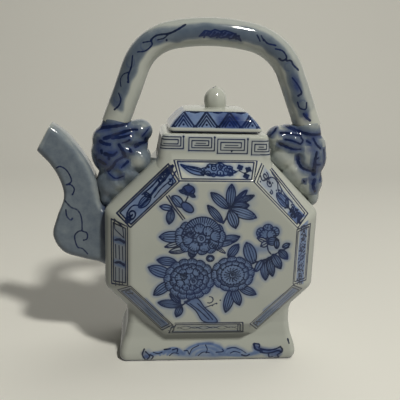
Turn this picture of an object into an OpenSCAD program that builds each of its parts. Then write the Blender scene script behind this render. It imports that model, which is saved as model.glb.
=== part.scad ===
// Flask-shaped porcelain teapot with an octagonal body, an overhead arch handle and a loose lid.
// +X runs to the right, the spout points to -X, the front panel faces -Y and +Z is up.
// The origin is the centre of the foot where it stands on the table.

/* [Body] */
// Width of the octagonal body from flank to flank
body_w = 115; // [106:1:122]
// Height of the octagonal body
body_h = 107; // [100:1:112]
// Depth of the body from panel to panel
body_d = 58; // [54:1:66]
// Height of the body's centre above the table
body_z = 65; // [62:1:68]
// Length that each upper slanted corner takes off a side
shoulder_cut = 33; // [30:1:35]
// Length that each lower slanted corner takes off a side
heel_cut = 31; // [28:1:34]
// Inset of each flat panel from the outline of the body
panel_inset = 14; // [12:1:16]
// Thickness of the cast porcelain
wall = 3.5; // [2.5:0.5:4]

/* [Neck and foot] */
// Width of the neck where it leaves the shoulders
neck_w = 59; // [54:1:62]
// Depth of the neck
neck_d = 39; // [38:1:44]
// Height of the flat top of the neck
neck_top = 127; // [125:1:130]
// Width of the foot at the table
foot_w = 99; // [92:1:104]
// Depth of the foot at the table
foot_d = 45; // [42:1:48]

/* [Lid] */
// Width of the lid at its rim
lid_w = 48.5; // [46:0.5:50]
// Depth of the lid at its rim
lid_d = 35; // [33:0.5:36]
// Depth of the locating flange below the rim
flange_h = 8; // [5:1:10]
// Diameter of the bud on the lid
knob_dia = 12; // [10:0.5:13]

/* [Handle] */
// Diameter of the round handle
handle_dia = 14.4; // [13:0.2:15]
// Height of the top of the arch above the table
arch_top = 185; // [182:1:190]
// Slant of the two legs off upright, in degrees
leg_slant = 21; // [19:1:22]
// How far the top of the hand-set arch leans towards the spout
arch_lean = 2.5; // [0:0.5:4]

/* [Spout] */
// Half depth of the spout at the body
spout_root = 10; // [8:0.5:11]
// Half depth of the spout at the mouth
spout_mouth = 6.5; // [5:0.5:8]
// Diameter of each strainer hole behind the spout
strainer_dia = 4; // [3:0.5:5]

/* [Hidden] */

porcelain = "gainsboro";
wash_blue = "lightsteelblue";

// Body: a flat side wall, a round edge, a bevel and a flat panel on each face
side_half = 12;
edge_r = 10;
edge_turn = 46;
corner_r = 6;
panel_corner_r = 2.5;
corner_steps = 3;
edge_steps = 4;

// Neck and lid
neck_top_w = neck_w - 4;
mouth_w = 38.6;
mouth_d = 24;
mouth_r = 4;
lid_gap = 0.3;
lid_z = neck_top + lid_gap;
flange_gap = 0.4;
flange_t = 2.8;
crown_h = 11.7;
vent_dia = 2.4;

// Foot
foot_rise = 40;
foot_t = 4;

// Handle path: one flat arc on top, two tight shoulders and two straight legs
top_arc_r = 100;
top_arc_turn = 12;
shoulder_r = 28;
leg_end_z = 129;
handle_wall = 3;
tube_sides = 20;

// A rounded polygon corner from angle a0 to a1 about a centre
function arc_points(cx, cy, r, a0, a1, steps) =
    [for (j = [0:steps]) let (a = a0 + (a1 - a0) * j / steps) [cx + r * cos(a), cy + r * sin(a)]];

// Outline of the octagonal body at a given inset, as [x, z] points
function octagon(inset) =
    let (
        a = body_w / 2 - inset,
        b = body_h / 2 - inset,
        s = (body_w + body_h) / 2 - shoulder_cut - inset * sqrt(2),
        t = (body_w + body_h) / 2 - heel_cut - inset * sqrt(2),
        r = corner_r + (panel_corner_r - corner_r) * min(inset / panel_inset, 1),
        corners = [
            [a, s - a], [s - b, b], [b - s, b], [-a, s - a],
            [-a, a - t], [b - t, -b], [t - b, -b], [a, a - t]
        ]
    )
    [
        for (k = [0:7])
        let (mid = 22.5 + 45 * k, back = r / cos(22.5))
        each arc_points(
            corners[k][0] - back * cos(mid), corners[k][1] - back * sin(mid),
            r, mid - 22.5, mid + 22.5, corner_steps
        )
    ];

// Outline of a rectangle with round corners, as [x, y] points
function rounded_box(half_w, half_d, r) =
    [
        for (k = [0:3])
        let (sx = [1, -1, -1, 1][k], sy = [1, 1, -1, -1][k])
        each arc_points(sx * (half_w - r), sy * (half_d - r), r, 90 * k, 90 * k + 90, 3)
    ];

// Half profile of the body from the side wall to the panel, as [distance from the middle, inset]
function face_profile() =
    concat(
        [
            for (j = [0:edge_steps])
            let (a = edge_turn * j / edge_steps)
            [side_half + edge_r * sin(a), edge_r * (1 - cos(a))]
        ],
        [[body_d / 2, panel_inset]]
    );

// Solid through a list of rings, which all have the same number of points
module loft(rings) {
    n = len(rings[0]);
    last = len(rings) - 1;
    points = [for (ring = rings) each ring];
    sides = [
        for (i = [0:last - 1])
        for (j = [0:n - 1])
        let (k = (j + 1) % n, p = i * n, q = i * n + n)
        each [[p + j, q + j, q + k], [p + j, q + k, p + k]]
    ];
    caps = [[for (j = [0:n - 1]) j], [for (j = [n - 1:-1:0]) last * n + j]];
    polyhedron(points, concat(sides, caps), convexity = 6);
}

function ring_at_z(outline, z) = [for (p = outline) [p[0], p[1], z]];
function body_ring(y, inset) = [for (p = octagon(inset)) [p[0], y, body_z + p[1]]];

// Whole body as a filled form, which trims everything that is luted on to it
module body_form() {
    half = face_profile();
    last = len(half) - 1;
    loft(concat(
        [for (i = [last:-1:0]) body_ring(half[i][0], half[i][1])],
        [for (i = [0:last]) body_ring(-half[i][0], half[i][1])]
    ));
}

// Opening under the neck, through the top of the side wall
module mouth_cut() {
    translate([-21, -side_half - 1, body_z + body_h / 2 - 20]) cube([42, 2 * side_half + 2, 30]);
}

// One moulded face of the body, open towards the middle
module moulding() {
    half = face_profile();
    last = len(half) - 1;
    difference() {
        loft(concat(
            [body_ring(-side_half, 0)],
            [for (i = [0:last]) body_ring(-half[i][0], half[i][1])]
        ));
        loft(concat(
            [body_ring(1 - side_half, wall)],
            [for (i = [0:last]) body_ring(wall - half[i][0], wall + half[i][1] * 0.96)]
        ));
    }
}

module front_moulding() {
    color(porcelain) moulding();
}

module back_moulding() {
    color(porcelain) mirror([0, 1, 0]) moulding();
}

// Flat band between the two mouldings, pierced behind the spout
module side_wall() {
    color(porcelain)
    difference() {
        translate([0, 0, body_z]) rotate([90, 0, 0])
        linear_extrude(height = 2 * side_half, center = true)
        difference() {
            polygon(octagon(0));
            polygon(octagon(wall));
        }
        mouth_cut();
        strainer_holes();
    }
}

// One hole in the middle and six around it
module strainer_holes() {
    pitch = 6;
    spots = concat([[0, 0]], [for (k = [0:5]) [pitch * cos(60 * k), pitch * sin(60 * k)]]);
    for (p = spots)
        translate([-body_w / 2 - 5, p[1], body_z + 3 + p[0]])
        rotate([0, 90, 0]) cylinder(d = strainer_dia, h = 12, $fn = 24);
}

// Box-like collar with a flat top, trimmed to the shoulders
module neck() {
    low = body_z + body_h / 2 - 18;
    color(porcelain)
    difference() {
        loft([
            ring_at_z(rounded_box(neck_w / 2, neck_d / 2, 4), low),
            ring_at_z(rounded_box(neck_w / 2, neck_d / 2, 4), neck_top - 12),
            ring_at_z(rounded_box(neck_top_w / 2 + 0.4, neck_d / 2 - 0.2, 4), neck_top - 2),
            ring_at_z(rounded_box(neck_top_w / 2, neck_d / 2 - 0.8, 4), neck_top - 0.7),
            ring_at_z(rounded_box(neck_top_w / 2 - 1.2, neck_d / 2 - 2, 3), neck_top)
        ]);
        body_form();
        loft([
            ring_at_z(rounded_box(neck_w / 2 - wall, neck_d / 2 - wall, 3), low - 1),
            ring_at_z(rounded_box(neck_top_w / 2 - wall, neck_d / 2 - wall, 3), neck_top - 4)
        ]);
        translate([0, 0, neck_top - 6]) linear_extrude(height = 8)
        polygon(rounded_box(mouth_w / 2, mouth_d / 2, mouth_r));
    }
}

// Hollow plinth with coved sides, notched for the underside of the body
module foot() {
    waist_w = foot_w / 2 - 4.4;
    waist_d = foot_d / 2 - 3.2;
    color(porcelain)
    difference() {
        loft([
            ring_at_z(rounded_box(foot_w / 2 - 1.4, foot_d / 2 - 1.4, 4), 0),
            ring_at_z(rounded_box(foot_w / 2 - 0.3, foot_d / 2 - 0.3, 4), 1.4),
            ring_at_z(rounded_box(foot_w / 2, foot_d / 2, 4), 4.5),
            ring_at_z(rounded_box(foot_w / 2 - 1, foot_d / 2 - 0.8, 4), 9),
            ring_at_z(rounded_box(foot_w / 2 - 2.9, foot_d / 2 - 2.2, 4), 14),
            ring_at_z(rounded_box(waist_w, waist_d, 4), 22),
            ring_at_z(rounded_box(waist_w, waist_d, 4), foot_rise)
        ]);
        body_form();
        loft([
            ring_at_z(rounded_box(foot_w / 2 - 5, foot_d / 2 - 5, 3), -1),
            ring_at_z(rounded_box(waist_w - foot_t, waist_d - foot_t, 3), 14),
            ring_at_z(rounded_box(waist_w - foot_t, waist_d - foot_t, 3), foot_rise + 1)
        ]);
    }
}

// Spout stations from the body to the mouth: [lower x, lower z, upper x, upper z]
function spout_stations() =
    let (x0 = -body_w / 2)
    [
        [x0, 52.6, x0, 84],
        [x0 - 12, 55.2, x0 - 2.5, 87.5],
        [x0 - 23, 59, x0 - 3, 90.5],
        [x0 - 28.3, 68, x0 - 3.8, 95.5],
        [x0 - 26, 78.5, x0 - 5.8, 102],
        [x0 - 22.2, 89.5, x0 - 9.2, 109],
        [x0 - 24.2, 99, x0 - 14.4, 116.8],
        [x0 - 29, 107.2, x0 - 20.8, 124.2],
        [x0 - 35.4, 114, x0 - 27.4, 129]
    ];

function spline(p0, p1, p2, p3, t) =
    0.5 * (2 * p1 + (p2 - p0) * t + (2 * p0 - 5 * p1 + 4 * p2 - p3) * t * t
        + (3 * p1 - p0 - 3 * p2 + p3) * t * t * t);

// Station at any place along the spout, with 0 at the body and 1 at the mouth
function spout_station(s) =
    let (
        list = spout_stations(),
        last = len(list) - 1,
        i = min(floor(s * last), last - 1)
    )
    spline(list[max(i - 1, 0)], list[i], list[i + 1], list[min(i + 2, last)], s * last - i);

// Squared ring across the spout, shrunk by a margin and pushed along the spout by extra
function spout_ring(s, margin, extra) =
    let (
        q = spout_station(s),
        low = [q[0], q[1]],
        high = [q[2], q[3]],
        span = norm(high - low),
        dir = (high - low) / span,
        ahead = [-dir[1], dir[0]],
        mid = (low + high) / 2 + extra * ahead,
        half_y = spout_root + (spout_mouth - spout_root) * s - margin
    )
    [
        for (p = rounded_box(span / 2 - margin, half_y, max(4 - margin, 1)))
        [mid[0] + dir[0] * p[0], p[1], mid[1] + dir[1] * p[0]]
    ];

// Flat S-curved spout, open at both ends
module spout() {
    steps = 20;
    shell = 2.6;
    color(wash_blue)
    difference() {
        loft([for (i = [0:steps]) spout_ring(i / steps, 0, 0)]);
        loft(concat(
            [spout_ring(0, shell, -1)],
            [for (i = [0:steps]) spout_ring(i / steps, shell, 0)],
            [spout_ring(1, shell, 1)]
        ));
    }
}

// Ends of the arcs of the arch, as [x, z] from the middle of the top of its centre line
top_end = top_arc_r * [sin(top_arc_turn), cos(top_arc_turn) - 1];
shoulder_centre = top_end - shoulder_r * [sin(top_arc_turn), cos(top_arc_turn)];
shoulder_end = shoulder_centre + shoulder_r * [cos(leg_slant), sin(leg_slant)];
leg_length = (arch_top - handle_dia / 2 + shoulder_end[1] - leg_end_z) / cos(leg_slant);
leg_end = shoulder_end + leg_length * [sin(leg_slant), -cos(leg_slant)];

// Centre line of the +X half, from the leg's end to the top, as [x, z, angle of the outward side].
// The leg can run on past its end by extra.
function arch_half(extra) =
    let (flank = 90 - top_arc_turn)
    concat(
        [[leg_end[0] + extra * sin(leg_slant), leg_end[1] - extra * cos(leg_slant), leg_slant]],
        [
            for (j = [0:9])
            let (a = leg_slant + (flank - leg_slant) * j / 9)
            [shoulder_centre[0] + shoulder_r * cos(a), shoulder_centre[1] + shoulder_r * sin(a), a]
        ],
        [
            for (j = [1:3])
            let (a = flank + top_arc_turn * j / 3)
            [top_arc_r * cos(a), top_arc_r * (sin(a) - 1), a]
        ]
    );

// Ring round the centre line, leaning more towards the spout the higher it is
function arch_ring(spot, r) =
    let (
        z = arch_top - handle_dia / 2 + spot[1],
        rise = max(z - leg_end_z, 0) / (arch_top - leg_end_z),
        x = spot[0] - arch_lean * rise * rise
    )
    [
        for (j = [0:tube_sides - 1])
        let (a = 360 * j / tube_sides)
        [x + r * cos(a) * cos(spot[2]), r * sin(a), z + r * cos(a) * sin(spot[2])]
    ];

// Cast tube from one leg's end over the top to the other
module arch_tube(r, extra) {
    half = arch_half(extra);
    last = len(half) - 1;
    loft(concat(
        [for (i = [0:last]) arch_ring(half[i], r)],
        [for (i = [last - 1:-1:0]) arch_ring([-half[i][0], half[i][1], 180 - half[i][2]], r)]
    ));
}

module handle() {
    color(wash_blue)
    difference() {
        arch_tube(handle_dia / 2, 0);
        arch_tube(handle_dia / 2 - handle_wall, 1);
    }
}

// Room around the +X leg above its end face
module leg_room() {
    translate([leg_end[0], 0, leg_end_z]) rotate([0, -leg_slant, 0])
    cylinder(r = handle_dia / 2 + 0.2, h = 12, $fn = 32);
}

// Pair of balls either side of the middle, at [x, z]
module ball_pair(spot, r, half_gap) {
    for (side = [-1, 1]) translate([spot[0], side * half_gap, spot[1]]) sphere(r = r, $fn = 16);
}

// Animal-head bracket on the +X shoulder: collar, brow and cheeks, with a trunk down the flank
module lug_head() {
    hull() {
        translate([leg_end[0], 0, leg_end_z]) rotate([0, -leg_slant, 0])
        translate([0, 0, -3]) cylinder(r = handle_dia / 2 + 1.2, h = 3, $fn = 32);
        ball_pair([38, 123.5], 7, 4.5);
        ball_pair([35, 116], 5, 6.5);
        ball_pair([59, 119], 6.6, 5);
        ball_pair([45, 106], 6, 6);
    }
    hull() {
        ball_pair([58, 115], 6.5, 5);
        ball_pair([46, 102], 5, 5.5);
        ball_pair([55.5, 93.5], 5.3, 3.5);
    }
}

module lug() {
    difference() {
        lug_head();
        body_form();
        leg_room();
        translate([0, -neck_d / 2, 100]) cube([neck_w / 2, neck_d, 40]);
    }
}

module right_lug() {
    color(wash_blue) lug();
}

module left_lug() {
    color(wash_blue) mirror([1, 0, 0]) lug();
}

// Hipped cover of the lid, hollow below
module lid_cover() {
    w = lid_w / 2;
    d = lid_d / 2;
    color(porcelain)
    difference() {
        loft([
            ring_at_z(rounded_box(w - 1.5, d - 1.5, 2), lid_z),
            ring_at_z(rounded_box(w - 0.7, d - 0.7, 2), lid_z + 0.5),
            ring_at_z(rounded_box(w, d, 2), lid_z + 1.1),
            ring_at_z(rounded_box(w, d, 2), lid_z + 2),
            ring_at_z(rounded_box(w - 0.5, d - 0.4, 2), lid_z + 2.8),
            ring_at_z(rounded_box(w - 7.2, d - 4.2, 2), lid_z + 10.2),
            ring_at_z(rounded_box(w - 8.6, d - 5.4, 2), lid_z + 11),
            ring_at_z(rounded_box(w - 13, d - 9, 2), lid_z + crown_h)
        ]);
        loft([
            ring_at_z(rounded_box(15.6, 8.6, 2), lid_z - 1),
            ring_at_z(rounded_box(15.6, 8.6, 2), lid_z + 3.5),
            ring_at_z(rounded_box(11, 7, 2), lid_z + 8.4)
        ]);
        translate([8, 3, lid_z]) cylinder(d = vent_dia, h = 20, $fn = 24);
    }
}

// Ring below the cover that drops into the mouth of the neck
module lid_flange() {
    w = mouth_w / 2 - flange_gap;
    d = mouth_d / 2 - flange_gap;
    color(porcelain)
    translate([0, 0, lid_z - flange_h]) linear_extrude(height = flange_h)
    difference() {
        polygon(rounded_box(w, d, mouth_r));
        polygon(rounded_box(w - flange_t, d - flange_t, 2));
    }
}

// Bud on the lid: a round dome with a small tip
module lid_knob() {
    r = knob_dia / 2;
    color(porcelain)
    translate([0, 0, lid_z + crown_h])
    rotate_extrude($fn = 48)
    polygon(concat(
        [[0, 0], [r - 0.5, 0], [r - 0.1, 1.6]],
        [for (a = [0:10:80]) [r * cos(a), 3.4 + 7 * sin(a)]],
        [[0.6, 10.8], [0, 11.2]]
    ));
}

front_moulding();
back_moulding();
side_wall();
neck();
foot();
spout();
handle();
left_lug();
right_lug();
lid_cover();
lid_flange();
lid_knob();
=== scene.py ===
"""Blue-and-white porcelain teapot with an octagonal flask body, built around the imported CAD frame.

Shapes are worked out in millimetres, in the CAD's own frame, and scaled to metres when a mesh is made.
The brushwork is stored on the points of each mesh as three attributes: ink, wash and deep."""
from math import atan2, cos, degrees, exp, hypot, pi, radians, sin, sqrt

import bmesh
import bpy
import numpy as np
from mathutils import Matrix, Vector


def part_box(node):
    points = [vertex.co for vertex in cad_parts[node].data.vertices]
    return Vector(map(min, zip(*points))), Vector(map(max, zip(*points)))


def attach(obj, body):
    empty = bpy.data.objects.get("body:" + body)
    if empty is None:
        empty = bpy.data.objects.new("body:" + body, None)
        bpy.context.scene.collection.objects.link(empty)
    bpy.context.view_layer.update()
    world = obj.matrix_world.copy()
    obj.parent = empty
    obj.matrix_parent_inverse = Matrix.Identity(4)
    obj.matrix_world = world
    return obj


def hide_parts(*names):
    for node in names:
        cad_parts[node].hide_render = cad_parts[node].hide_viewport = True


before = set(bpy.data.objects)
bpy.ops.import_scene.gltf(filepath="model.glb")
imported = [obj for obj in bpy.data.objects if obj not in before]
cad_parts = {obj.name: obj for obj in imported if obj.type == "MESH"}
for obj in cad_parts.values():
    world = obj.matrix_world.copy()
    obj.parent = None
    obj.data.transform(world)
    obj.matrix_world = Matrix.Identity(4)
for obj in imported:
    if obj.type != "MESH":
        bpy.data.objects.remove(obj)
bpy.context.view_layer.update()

MM = 0.001


def node_box(node):
    """Lowest and highest corner of a CAD node, in mm."""
    low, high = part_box(node)
    return np.array(low) / MM, np.array(high) / MM


# Body, measured on the frame
wall_low, wall_high = node_box("side_wall")
BODY_W = wall_high[0] - wall_low[0]
BODY_H = wall_high[2] - wall_low[2]
BODY_Z = (wall_high[2] + wall_low[2]) / 2
SIDE_HALF = wall_high[1]
PANEL_Y = node_box("back_moulding")[1][1]

# Body, as designed
SHOULDER_CUT = 33
HEEL_CUT = 31
PANEL_INSET = 14
EDGE_R = 10
EDGE_TURN = radians(46)
CORNER_R = 6
PANEL_CORNER_R = 2.5
WALL = 3.5

# Handle path, as designed
HANDLE_R = 7.2
HANDLE_WALL = 3
ARCH_TOP = 185
LEG_END_Z = 129
LEG_FOOT_X = 51.9
LEG_SLANT = 21
ARCH_LEAN = 2.5
TOP_ARC_R = 100
TOP_ARC_TURN = 12
SHOULDER_R = 28

FINE = 0.4
SEED = 11
FAR = 9.0
# How far the wash runs out past an outline
BLEED = 2.4
LAYERS = ("away", "wash", "deep")


# ---------------------------------------------------------------- outlines

def arc(cx, cy, r, a0, a1, steps):
    """Points of an arc, with its angles in degrees."""
    a = np.radians(np.linspace(a0, a1, steps + 1))
    return np.column_stack([cx + r * np.cos(a), cy + r * np.sin(a)])


def oval(cx, cy, rx, ry, count):
    """Points of a closed oval."""
    t = np.linspace(0, 2 * pi, count, endpoint=False)
    return np.column_stack([cx + rx * np.cos(t), cy + ry * np.sin(t)])


def octagon_corners(inset):
    """Sharp corners of the body's outline at an inset, as [x, height from the middle]."""
    a = BODY_W / 2 - inset
    b = BODY_H / 2 - inset
    s = (BODY_W + BODY_H) / 2 - SHOULDER_CUT - inset * sqrt(2)
    t = (BODY_W + BODY_H) / 2 - HEEL_CUT - inset * sqrt(2)
    return np.array([[a, s - a], [s - b, b], [b - s, b], [-a, s - a],
                     [-a, a - t], [b - t, -b], [t - b, -b], [a, a - t]])


def octagon(inset):
    """Outline of the body at an inset, with its corners rounded as on the CAD model."""
    r = CORNER_R + (PANEL_CORNER_R - CORNER_R) * min(inset / PANEL_INSET, 1)
    back = r / cos(radians(22.5))
    parts = []
    for k, (x, z) in enumerate(octagon_corners(inset)):
        mid = 22.5 + 45 * k
        turn = radians(mid)
        parts.append(arc(x - back * cos(turn), z - back * sin(turn), r, mid - 22.5, mid + 22.5, 16))
    return np.vstack(parts)


def run_length(points):
    """Length along a path up to each of its points."""
    return np.concatenate([[0], np.cumsum(np.linalg.norm(np.diff(points, axis=0), axis=1))])


def around(outline, share):
    """Places at shares of the way round a closed outline."""
    closed = np.vstack([outline, outline[:1]])
    length = run_length(closed)
    at = np.mod(share, 1) * length[-1]
    return np.column_stack([np.interp(at, length, closed[:, 0]), np.interp(at, length, closed[:, 1])])


def rounded_box(half_w, half_d, r, count):
    """Rectangle with round corners, as count points spaced evenly."""
    r = min(r, half_w - 0.05, half_d - 0.05)
    w, d = half_w - r, half_d - r
    corners = ((w, d), (-w, d), (-w, -d), (w, -d))
    outline = np.vstack([arc(x, y, r, 90 * k, 90 * k + 90, 8) for k, (x, y) in enumerate(corners)])
    return around(outline, np.arange(count) / count)


def soft_profile(points, step, radius):
    """A profile through the points, resampled evenly and with its corners softened."""
    points = np.array(points, float)
    length = run_length(points)
    count = max(int(length[-1] / step), 2)
    at = np.linspace(0, length[-1], count + 1)
    spread = np.minimum(1, np.minimum(at, at[-1] - at) / radius)
    spots = np.clip(at[:, None] + np.linspace(-radius, radius, 9) * spread[:, None], 0, length[-1])
    return np.column_stack([np.interp(spots, length, column).mean(1) for column in points.T])


def smooth_curve(points, steps):
    """Catmull-Rom curve through the points."""
    p = np.array(points, float)
    p = np.vstack([2 * p[0] - p[1], p, 2 * p[-1] - p[-2]])
    t = np.linspace(0, 1, steps, endpoint=False)[:, None]
    parts = []
    for a, b, c, d in zip(p, p[1:], p[2:], p[3:]):
        parts.append(0.5 * (2 * b + (c - a) * t + (2 * a - 5 * b + 4 * c - d) * t**2
                            + (3 * b - a - 3 * c + d) * t**3))
    return np.vstack(parts + [p[-2:-1]])


# ---------------------------------------------------------------- body surface

def face_profile():
    """Half profile of the body from the side wall to the panel, as [distance from the middle, inset]."""
    a = np.linspace(0, EDGE_TURN, 8)
    rounding = np.column_stack([SIDE_HALF + EDGE_R * np.sin(a), EDGE_R * (1 - np.cos(a))])
    return np.vstack([rounding, [[PANEL_Y, PANEL_INSET]]])


PROFILE = face_profile()
BEVEL = PROFILE[-1] - PROFILE[-2]
BEVEL_LENGTH = float(np.hypot(*BEVEL))


def body_height(x, y, corner_cut):
    """Height of the body's outline over its middle, on the side with this corner cut."""
    inset = np.interp(np.abs(y), PROFILE[:, 0], PROFILE[:, 1])
    slant = (BODY_W + BODY_H) / 2 - corner_cut - inset * sqrt(2)
    return np.minimum(BODY_H / 2 - inset, slant - np.abs(x))


def body_top(x, y):
    """Height of the top of the body over a place on the table."""
    return BODY_Z + body_height(x, y, SHOULDER_CUT)


def body_under(x, y):
    """Height of the underside of the body over a place on the table."""
    return BODY_Z - body_height(x, y, HEEL_CUT)


# ---------------------------------------------------------------- meshes

def new_object(name, points, faces):
    """Mesh object in the scene, from points in metres."""
    mesh = bpy.data.meshes.new(name)
    mesh.from_pydata(np.asarray(points).tolist(), [], faces)
    made = bpy.data.objects.new(name, mesh)
    bpy.context.scene.collection.objects.link(made)
    return made


def fix_normals(piece):
    """Turns every face outwards."""
    work = bmesh.new()
    work.from_mesh(piece.data)
    bmesh.ops.recalc_face_normals(work, faces=work.faces)
    work.to_mesh(piece.data)
    work.free()


def make_piece(node, points, faces, material, paint=None, sharp=40, body="pot", slot=None):
    """Final piece from points in mm, riding on a body and standing for its CAD node."""
    piece = new_object(node + "_porcelain", np.asarray(points) * MM, faces)
    mesh = piece.data
    mesh.validate()
    if paint:
        for layer, painted in paint.layers().items():
            values = np.zeros(len(points), np.float32)
            values[:len(painted)] = painted
            mesh.attributes.new(layer, "FLOAT", "POINT").data.foreach_set("value", values)
    mesh.materials.append(material)
    mesh.shade_smooth()
    mesh.set_sharp_from_angle(angle=radians(sharp))
    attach(piece, body)
    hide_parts(node)
    fix_normals(piece)
    return piece


def ring_faces(count, rings, closed, first=0):
    """Quads between rings of count points each. A closed stack also joins its last ring to its first."""
    j = np.arange(count)
    k = (j + 1) % count
    faces = []
    for i in range(rings if closed else rings - 1):
        p = first + i * count
        q = first + ((i + 1) % rings) * count
        faces += np.column_stack([p + j, p + k, q + k, q + j]).tolist()
    return faces


def fan(first, count, centre, flip=False):
    """Triangles from a ring of points to a centre."""
    edges = [(first + j, first + (j + 1) % count) for j in range(count)]
    return [[b, a, centre] if flip else [a, b, centre] for a, b in edges]


def stitch(outer, inner):
    """Triangles between two closed rings with different numbers of points that start side by side."""
    faces = []
    n, m = len(outer), len(inner)
    j = 0
    for i in range(n):
        faces.append([outer[i], outer[(i + 1) % n], inner[j % m]])
        if (i + 1) * m >= (j + 1) * n:
            faces.append([outer[(i + 1) % n], inner[(j + 1) % m], inner[j % m]])
            j += 1
    return faces


def make_tube(node, rings, material, paint=None, **more):
    """Final piece from a closed stack of rings."""
    faces = ring_faces(len(rings[0]), len(rings), True)
    return make_piece(node, np.vstack(rings), faces, material, paint, **more)


def level(ring, z):
    """Level ring at a height, which may differ from point to point."""
    return np.column_stack([ring, np.full(len(ring), z)])


def upright(inset, y, count, start=0.0):
    """Ring of the body's outline at an inset, standing at a distance from the middle plane."""
    flat = around(octagon(inset), np.arange(count) / count + start)
    return np.column_stack([flat[:, 0], np.full(count, y), BODY_Z + flat[:, 1]])


def evaluated(piece):
    """Mesh of an object with its modifiers, which are then removed."""
    graph = bpy.context.evaluated_depsgraph_get()
    mesh = bpy.data.meshes.new_from_object(piece.evaluated_get(graph), depsgraph=graph)
    piece.modifiers.clear()
    piece.data = mesh
    return mesh


def cut(piece, *tools):
    """Removes the tools from the piece for good."""
    for tool in tools:
        change = piece.modifiers.new("cut", "BOOLEAN")
        change.operation = "DIFFERENCE"
        change.solver = "EXACT"
        change.object = tool
    evaluated(piece)
    for tool in tools:
        bpy.data.objects.remove(tool)


def plug(rings):
    """Closed solid from a stack of rings, for cut()."""
    count = len(rings[0])
    total = count * len(rings)
    caps = [list(range(count)), list(range(total - count, total))]
    tool = new_object("tool", np.vstack(rings) * MM, ring_faces(count, len(rings), False) + caps)
    fix_normals(tool)
    return tool


def rod(start, end, r, sides=40):
    """Cylinder between two points, for cut()."""
    start, end = np.array(start, float), np.array(end, float)
    ahead = (end - start) / np.linalg.norm(end - start)
    side = np.cross(ahead, [0.3, 0.5, 0.8])
    side /= np.linalg.norm(side)
    a = np.linspace(0, 2 * pi, sides, endpoint=False)[:, None]
    ring = r * (np.cos(a) * side + np.sin(a) * np.cross(ahead, side))
    return plug([ring + start, ring + end])


# ---------------------------------------------------------------- painting

def as_path(path, steps=0):
    """Points of a path. Steps make it a smooth curve."""
    return smooth_curve(path, steps) if steps else np.array(path, float)


def from_segment(p, a, b):
    """Distance of points from a segment, and their share of the way along it."""
    ab = b - a
    t = np.clip((p - a) @ ab / max(ab @ ab, 1e-9), 0, 1)
    return np.hypot(*(p - a - t[:, None] * ab).T), t


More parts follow.
